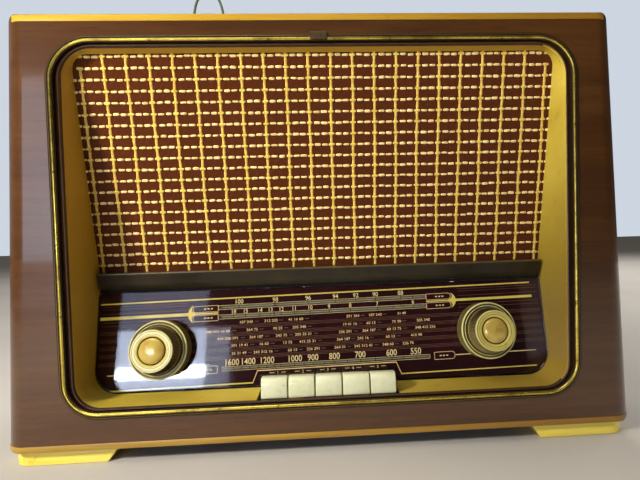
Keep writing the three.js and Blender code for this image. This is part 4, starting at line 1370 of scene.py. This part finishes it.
# a black felt strip closes the gap between glass and shelf; its black also stands in for the shade
# under the shelf, painted shade
felt = Shape()
felt.prism(rounded_box(-213, 213, 85.15, 87.5, 0.5, 3), at_dial, -3.0, -0.2)
felt.make("glass_felt_and_shade_strip", "felt_black", "shelf", smooth=30)

# pointer: dark blade seen through the scale windows, on a carriage with a rail hole; its dark colour
# is painted shadow, standing for the pointer's shadow on the scale
x0, x1 = box_mm("pointer")[:2]
middle = (x0 + x1) / 2
loops = []
for rise in (8, 8.6, 40, 86):
    half = 0.55 if rise == 8 else 0.8
    section = [
        (-half, -6.1), (half, -6.1), (half, -5.3), (0.25, -5.05), (-0.25, -5.05), (-half, -5.3),
    ]
    loops.append([at_dial(middle + dx, rise, out) for dx, out in section])
pointer = Shape()
pointer.loft(loops, caps=True)
pointer.brick(x0, x1, 86, 94, -10.4, -3.8, place=at_dial)
rail_hole = Shape()
rail_hole.loft(
    [[at_dial(x, *point) for point in circle(90, -7, 2.4, 28)] for x in (middle - 20, middle + 20)],
    caps=True,
)
pointer.make(
    "pointer_blade", "pointer_dark", "pointer_enamel", "pointer", body="pointer_carriage",
    smooth=30, cutter=rail_hole,
)

# ------------------------------------------------------------------ knobs
# radius, height off the glass, material slot of the band up to the next point
RING_PROFILE = [
    (3.7, -22, 2), (5.9, -22, 2), (5.9, 1.2, 2), (25.4, 1.2, 0), (26.0, 1.5, 0), (26.2, 2.2, 0),
    (26.2, 2.6, 0), (26.2, 14.6, 0), (26.2, 15.0, 0), (26.2, 15.8, 0), (26.05, 16.6, 1),
    (25.75, 17.3, 1), (25.2, 17.6, 1), (24.7, 17.3, 2), (24.45, 16.6, 2), (24.2, 16.3, 2),
    (23.3, 16.3, 2), (23.05, 16.9, 1), (22.7, 17.2, 1), (22.35, 16.9, 2), (22.1, 16.2, 2),
    (19.5, 15.6, 2), (12, 15.4, 2), (3.7, 15.4, 2),
]
CAP_PROFILE = [
    (3.6, 19.4, 0), (20.6, 19.4, 0), (20.9, 19.8, 0), (20.85, 20.3, 0), (18.35, 31.2, 0),
    (18.25, 31.6, 0), (18.35, 32.4, 0), (18.2, 33.2, 3), (17.9, 33.65, 3), (17.5, 33.8, 1),
    (16.9, 33.75, 1), (16.7, 33.45, 2), (16.5, 33.7, 1), (14.7, 33.66, 2), (14.55, 33.42, 2),
    (14.4, 33.63, 1), (12.9, 33.6, 1), (12.5, 33.4, 1), (12.1, 32.9, 2), (11.75, 32.4, 2),
    (11.6, 32.0, 2), (11.5, 31.8, 2), (3.6, 31.8, 2),
]
DOME_R, DOME_BASE, DOME_RISE = 11.15, 33.2, 3.15
KNOB_STEPS = 192


def fluted(name, node, body, place, profile, band, depth, groove, materials, slot):
    """A ring or cap, fluted on one band of its profile with every other facet in groove: one flank
    of each flute takes the groove material, as painted shade.
    """
    part = Shape()
    part.lathe(
        [point[:2] for point in profile], at_dial, *place, KNOB_STEPS,
        [point[2] for point in profile], flutes=(band, band + 1), flute_depth=depth,
    )
    # painted shade: one flank of each flute is dark
    for k in range(band * KNOB_STEPS, (band + 1) * KNOB_STEPS, 2):
        part.indices[k] = groove
    part.make(name, materials, slot, node, body=body, smooth=32)


def dome(name, node, body, place):
    profile = [(0, 32.0), (10.6, 32.0), (11.0, 32.2), (11.2, 32.7), (DOME_R, DOME_BASE)]
    for k in range(1, 11):
        a = k / 10 * math.pi / 2
        radius = DOME_R * math.cos(a) if k < 10 else 0
        profile.append((radius, DOME_BASE + DOME_RISE * math.sin(a)))
    button = Shape()
    button.lathe(profile, at_dial, *place, 72)
    button.make(name, "dome_gold", "knob_dome", node, body=body, smooth=50)


for side, place in (("bass", KNOBS[0]), ("treble", KNOBS[-1])):
    # painted shade: the dark flank of each knurl on the ring
    fluted(
        f"{side}_knob_ring", f"{side}_ring", f"{side}_control", place, RING_PROFILE,
        band=6, depth=0.5, groove=2, materials="ring_olive ring_cream ring_recess",
        slot="knob_ring",
    )
for side, place in (("volume", KNOBS[0]), ("tuning", KNOBS[-1])):
    # painted shade: the dark flank of each flute on the cap
    fluted(
        f"{side}_knob_cap", f"{side}_knob", f"{side}_control", place, CAP_PROFILE,
        band=3, depth=0.8, groove=4,
        materials="cap_side cap_face groove_dark cap_edge_cream cap_groove", slot="knob_cap",
    )
for side, place in (("volume", KNOBS[0]), ("tuning", KNOBS[-1])):
    dome(f"{side}_knob_button", f"{side}_knob_dome", f"{side}_control", place)

# ------------------------------------------------------------------ piano keys
for i in range(1, 6):
    x0, x1, y0, y1, z0, z1 = box_mm(f"key_cap_{i}")
    profile = [(y0 + 0.5, z0), (y0 + 0.1, z0 + 1.0), (y0, z0 + 2.2), (y0, z0 + 7.6)]
    for k in range(1, 9):
        a = math.radians(90 * k / 8)
        profile.append((y0 + 5.2 * (1 - math.cos(a)), z0 + 10.2 + 6.6 * math.sin(a)))
    profile += [(y0 + 9, z1 - 0.45), (y0 + 14, z1 - 1.5), (y1, z0 + 10.0), (y1, z0)]
    loops = []
    for x, shrink in (  # the sides are rounded off by shrinking the profile
        (x0, 0.9), (x0 + 0.12, 0.45), (x0 + 0.4, 0.14), (x0 + 0.9, 0.0),
        (x1 - 0.9, 0.0), (x1 - 0.4, 0.14), (x1 - 0.12, 0.45), (x1, 0.9),
    ):
        loop = []
        for y, z in profile:
            back = shrink if y < y0 + 3 else (shrink * 0.2 if y < y1 - 1 else 0)
            loop.append(at_case(x, y + back, z - (shrink if z > z0 + 9.5 else 0)))
        loops.append(loop)
    key = Shape()
    key.loft(loops, caps=True)
    middle = (x0 + x1) / 2
    lever_slot = Shape()
    lever_slot.brick(middle - 1.9, middle + 1.9, 20, y1 + 5, up(20), up(39.4))
    key.make(
        f"ivory_key_{i}", "key_ivory", "key_ivory", f"key_cap_{i}", body=f"key_{i}",
        smooth=42, cutter=lever_slot,
    )

# ------------------------------------------------------------------ back cover
x0, x1, y0, y1, z0, z1 = box_mm("back_cover")
back_y = y1
FLEX_X, FLEX_Z = -190, 48
SOCKET_Z = 118
SOCKET_X = (-150, -135, -120, -105)


def at_back(x, z, out):
    """A point on the back cover: out from its outer face, away from the set."""
    return at_case(x, back_y + out, z)


cutter = Shape()
for k in range(8):
    x = -175 + 50 * k
    for low, high in ((270, 340), (90, 160)):
        cutter.prism(rounded_box(x - 3, x + 3, low, high, 2.9), at_back, -8, 5)
cutter.prism(circle(FLEX_X, FLEX_Z, 5, 32), at_back, -8, 5)
cover = Shape()
cover.prism(rounded_box(x0, x1, z0, z1, 5, 8), at_back, -(y1 - y0), 0)
cover.make("fibre_back", "hardboard", "hardboard", "back_cover", cutter=cutter, bevel=0.4)

SCREWS = [
    (-249, 33), (-249, 361), (249, 33), (249, 361), (0, 33), (0, 361), (-249, 197), (249, 197),
]
# radius, height off the board
WASHER = [(0, -0.4), (4.2, -0.4), (4.2, 0.25), (3.6, 0.5), (0, 0.5)]
SCREW_HEAD = [(0, 0.4), (3.1, 0.4), (3.1, 0.7), (2.6, 1.35), (1.6, 1.7), (0, 1.8)]
slot_draws = random.Random(5)
screws, slots = Shape(), Shape()
for x, z in SCREWS:
    screws.lathe(WASHER, at_back, x, z, 32)
    screws.lathe(SCREW_HEAD, at_back, x, z, 28)
    draws.uniform(0, math.pi)  # a spare draw: the slot angles have a seed of their own
    turn = slot_draws.uniform(0, math.pi)
    dx, dz = math.cos(turn), math.sin(turn)
    outline = [
        (x + a * dx - b * dz, z + a * dz + b * dx) for a, b in rectangle(-4, 4, -0.35, 0.35)
    ]
    slots.prism(outline, at_back, 1.0, 3.0)
screws.make("back_screws", "plated_steel", "steel", smooth=35, cutter=slots)

# socket plate: phenolic strip with brass eyelets
plate, holes, eyelets = Shape(), Shape(), Shape()
plate.prism(rounded_box(-165, -95, SOCKET_Z - 12, SOCKET_Z + 12, 3), at_back, -0.2, 1.4)
EYELET = [(2.1, -0.1), (2.1, 1.6), (2.4, 1.85), (3.0, 1.85), (3.3, 1.6), (3.3, 1.3), (2.6, -0.1)]
for x in SOCKET_X:
    holes.prism(circle(x, SOCKET_Z, 2.1, 24), at_back, -3, 4)
    eyelets.lathe(EYELET, at_back, x, SOCKET_Z, 32)
plate.make("socket_plate", "paper_phenolic", "phenolic", smooth=30, cutter=holes, bevel=0.3)
eyelets.make("socket_eyelets", "turned_brass", "brass_parts", smooth=40)


# ------------------------------------------------------------------ aerial and mains flex
def smooth_path(points, steps):
    """Points along a centripetal Catmull-Rom path."""
    p = [Vector(q) for q in points]
    p = [p[0] * 2 - p[1]] + p + [p[-1] * 2 - p[-2]]

    def between(a, b, start, end, t):
        return a * ((end - t) / (end - start)) + b * ((t - start) / (end - start))

    out = []
    for i in range(1, len(p) - 2):
        t0, t1, t2, t3 = knot_times(p[i - 1 : i + 3])
        for k in range(steps):
            t = t1 + (t2 - t1) * k / steps
            a1 = between(p[i - 1], p[i], t0, t1, t)
            a2 = between(p[i], p[i + 1], t1, t2, t)
            a3 = between(p[i + 1], p[i + 2], t2, t3, t)
            b1 = between(a1, a2, t0, t2, t)
            b2 = between(a2, a3, t1, t3, t)
            out.append(between(b1, b2, t1, t2, t))
    out.append(p[-2])
    return out


def knot_times(points):
    times = [0.0]
    for a, b in zip(points, points[1:]):
        times.append(times[-1] + max(1e-4, (b - a).length) ** 0.5)
    return times


def tube(shape, path, r, n, ripple=0.0, round_end=True):
    def ring(centre, radii):
        angles = [2 * math.pi * i / n for i in range(n)]
        return [
            at_case(*(centre + (across * math.cos(a) + side * math.sin(a)) * radius))
            for a, radius in zip(angles, radii)
        ]

    across = None
    loops = []
    for k, centre in enumerate(path):
        along = (path[min(k + 1, len(path) - 1)] - path[max(k - 1, 0)]).normalized()
        if across is None:
            across = along.orthogonal().normalized()
        across = (across - along * across.dot(along)).normalized()
        side = along.cross(across)
        radii = [r + ripple * math.sin(k * 1.3 + i * 2 * math.pi * 2 / n) for i in range(n)]
        loops.append(ring(centre, radii))
    shape.loft(loops, caps=True)
    if round_end:
        tip = []
        for degrees in (0, 30, 60, 80):
            a = math.radians(degrees)
            tip.append(ring(path[-1] + along * (r * math.sin(a)), [r * math.cos(a)] * n))
        shape.loft(tip, caps=True)


# a stiff insulated wire looped over above the case, from the first socket: x, y, z
AERIAL = [
    (SOCKET_X[0], 235, SOCKET_Z), (-153, 242, 150), (-160, 244, 230), (-166, 244, 330),
    (-168.5, 243, 440), (-167.5, 240, 498.5), (-160.5, 239, 519), (-148, 239, 526.2),
    (-136, 239, 519.5), (-128.5, 240, 498.5), (-127, 243, 440), (-130, 244, 340),
    (-140, 244, 250),
]
AERIAL_PLUG = [  # radius, height off the board
    (0, 0.3), (3.4, 0.3), (3.4, 7.0), (3.1, 8.6), (2.4, 10.4), (1.9, 11.9), (0, 11.9),
]
aerial = Shape()
tube(aerial, smooth_path(AERIAL, 10), r=1.7, n=14)
aerial.lathe(AERIAL_PLUG, at_back, SOCKET_X[0], SOCKET_Z, 28, 1)
aerial.make("aerial_wire", "flex_grey plug_bakelite", "cable_grey", "aerial_lead", smooth=45)

# the flex leaves the back cover, drops to the ground and runs right to its plug: x, y, z
FLEX = [
    (FLEX_X, 222, FLEX_Z), (FLEX_X, 232, FLEX_Z), (-189, 243, 43), (-185, 248.5, 26),
    (-173, 250, 7.5), (-140, 250, 3.2), (-90, 249.5, 3.1), (-40, 251, 3.1), (-4, 251.6, 6.0),
]
PLUG_Y, PLUG_Z = 252, 8
PLUG_BODY = [  # x, size as a fraction of the full section
    (-9, 0.42), (-8.5, 0.5), (-4, 0.55), (-3.4, 0.72), (-1, 0.95), (0, 1.0), (22, 1.0),
    (25, 0.97), (25.8, 0.88),
]
PLUG_PIN = [(25.0, 1.95), (42.5, 1.95), (43.4, 1.6), (43.9, 0.9)]  # x, radius
flex = Shape()
tube(flex, smooth_path(FLEX, 14), r=2.9, n=16, ripple=0.12, round_end=False)
loops = []
for x, q in PLUG_BODY:
    section = rounded_box(-5 * q, 5 * q, -8 * q, 8 * q, 3.4 * q)
    loops.append([at_case(x, PLUG_Y + dy, PLUG_Z + dz) for dy, dz in section])
flex.loft(loops, 1, caps=True)
for pin_z in (PLUG_Z + 4.5, PLUG_Z - 4.5):
    flex.loft(
        [[at_case(x, y, z) for y, z in circle(PLUG_Y, pin_z, r, 20)] for x, r in PLUG_PIN],
        2, caps=True,
    )
flex.make(
    "mains_flex", "flex_brown plug_bakelite turned_brass", "cable_brown", "mains_cord", smooth=45
)

# ------------------------------------------------------------------ carried-over CAD nodes
for material, nodes in (
    ("board_wood", "baffle_board"),
    ("plated_steel", "speaker_frame"),
    ("cone_paper", "speaker_cone"),
    ("backplate_maroon", "dial_backplate"),
    ("lamp_bulb", "dial_lamp_left dial_lamp_right"),
    ("turned_brass", "cord_pulley_left cord_pulley_right"),
    ("plated_steel", "pointer_rail volume_shaft tuning_shaft volume_pot treble_pot"),
    ("vane_aluminium", "tuning_drum gang_frame gang_rotor"),
    ("waxed_cord", "dial_cord"),
    ("plated_steel", "key_pivot_rod"),
    ("paper_phenolic", "switch_bank"),
    ("chassis_plate", "chassis"),
    ("varnished_core", "mains_transformer output_transformer"),
    ("valve_glass", "valve_1 valve_2 valve_3 valve_4"),
    ("aluminium_can", "if_can"),
    ("plated_steel", "key_lever_1 key_lever_2 key_lever_3 key_lever_4 key_lever_5"),
):
    for node in nodes.split():
        obj = frame["nodes"][node]
        if not obj.material_slots:
            obj.data.materials.append(MATERIALS[material])
        for material_slot in obj.material_slots:
            material_slot.link = "OBJECT"
            material_slot.material = MATERIALS[material]


# ------------------------------------------------------------------ stage; metres from here on
def sheet(name, corners):
    mesh = bpy.data.meshes.new(name)
    mesh.from_pydata(corners, [], [(0, 1, 2, 3)])
    mesh.materials.append(MATERIALS["floor_pale"])
    obj = bpy.data.objects.new(name, mesh)
    scene.collection.objects.link(obj)
    return obj


floor = sheet("floor", [(x, y, 0) for x, y in rectangle(-9, 9, -9, 9)])

# The world lights the set more from the left and from behind; the camera sees a pale blue.
world = bpy.data.worlds.new("world")
scene.world = world
world.use_nodes = True
sky = Nodes(world.node_tree)
ambient = sky.find("BACKGROUND")
sky.feed(ambient.inputs["Color"], (1.0, 0.95, 0.88, 1))
direction = sky.axes(sky.add("TexCoord").outputs["Generated"])
from_left = sky.map_range(direction["X"], start=0.9, end=-0.9, low=0.035, high=0.3)
from_behind = sky.map_range(direction["Y"], start=-0.6, end=0.2, low=0.4, high=1.0)
sky.feed(ambient.inputs["Strength"], sky.math("MULTIPLY", from_left, from_behind))
pale = sky.add("Background", {"Color": (0.72, 0.79, 0.88, 1), "Strength": 0.85})
seen = sky.add("LightPath").outputs["Is Camera Ray"]
backdrop = sky.mix_shaders(seen, ambient.outputs[0], pale.outputs[0])
sky.feed(sky.find("OUTPUT_WORLD").inputs["Surface"], backdrop)


def area_light(name, place, target, width, height, watts, colour):
    light = bpy.data.lights.new(name, "AREA")
    light.shape = "RECTANGLE"
    light.size = width
    light.size_y = height
    light.energy = watts
    light.color = colour
    obj = bpy.data.objects.new(name, light)
    scene.collection.objects.link(obj)
    obj.location = place
    obj.rotation_mode = "QUATERNION"
    obj.rotation_quaternion = (Vector(target) - Vector(place)).to_track_quat("-Z", "Y")
    return obj


KEY_AT = Vector((-0.66, -0.68, 0.60))
WARM = (1.0, 0.96, 0.9)
key_light = area_light(
    "key_left", KEY_AT, target=(-0.05, -0.1, 0.2), width=0.14, height=0.14, watts=12.5,
    colour=(1.0, 0.96, 0.88),
)
key_light.visible_glossy = False
area_light(
    "top_soft", (-0.45, -0.62, 1.5), target=(-0.1, -0.1, 0.2), width=1.1, height=0.5, watts=6.5,
    colour=(1.0, 0.97, 0.9),
)
# panes of a window in front, facing straight along +y: name, place, width, height, watts, colour
for name, place, width, height, watts, colour in (
    ("window_side", (-1.33, -2.03, 0.555), 0.34, 0.89, 3.6, (0.72, 0.82, 1.0)),
    ("window_low", (-0.83, -2.03, 0.27), 0.50, 0.32, 7.2, (0.68, 0.78, 1.0)),
    ("window_fade", (-0.52, -2.03, 0.27), 0.12, 0.32, 0.5, (0.68, 0.78, 1.0)),
    ("window_top", (-0.83, -2.03, 0.545), 0.50, 0.23, 0.9, (0.62, 0.72, 1.0)),
    ("window_gap", (-0.816, -2.02, 0.226), 0.49, 0.058, 2.8, (0.9, 0.96, 1.0)),
):
    area_light(name, place, (place[0], 0, place[2]), width, height, watts, colour)
fill = area_light(
    "fill_right", (2.3, 0.5, 1.0), target=(0, 0, 0.2), width=1.8, height=1.6, watts=30,
    colour=WARM,
)
fill.visible_glossy = False
back_light = area_light(
    "back_soft", (0.4, 2.2, 1.8), target=(0, 0, 0.2), width=2.0, height=1.2, watts=60,
    colour=(1.0, 1.0, 1.0),
)
back_light.visible_glossy = False

# a card between the key light and the lower right corner, seen by no camera
SHADED = [(0.10, 0.035), (0.15, 0.24), (0.42, 0.26), (0.42, 0.035)]  # x, z of the shaded patch
PATCH_Y = -0.126
CARD_REACH = 0.45  # how far along from the light to the patch
card = sheet(
    "shade_card",
    [tuple(KEY_AT + (Vector((x, PATCH_Y, z)) - KEY_AT) * CARD_REACH) for x, z in SHADED],
)
card.visible_camera = False
card.visible_glossy = False

# ------------------------------------------------------------------ camera
yaw, pitch, roll = (math.radians(a) for a in (3.212, 2.005, -1.734))
view = Vector((
    math.sin(yaw) * math.cos(pitch), math.cos(yaw) * math.cos(pitch), math.sin(pitch)
))
level_right = Vector((math.cos(yaw), -math.sin(yaw), 0))
level_up = level_right.cross(view)
camera_right = level_right * math.cos(roll) + level_up * math.sin(roll)
camera_up = level_up * math.cos(roll) - level_right * math.sin(roll)
pose = Matrix((camera_right, camera_up, -view)).transposed().to_4x4()
pose.translation = Vector((-0.00497, -0.53068, 0.18382))
lens = bpy.data.cameras.new("camera")
camera = bpy.data.objects.new("camera", lens)
scene.collection.objects.link(camera)
lens.sensor_width = 36
lens.lens = 26.25525
lens.shift_x = -0.038
lens.shift_y = -0.03140625
lens.clip_start = 0.02
camera.matrix_world = pose
scene.camera = camera
scene.view_settings.view_transform = "Standard"

bpy.context.view_layer.update()
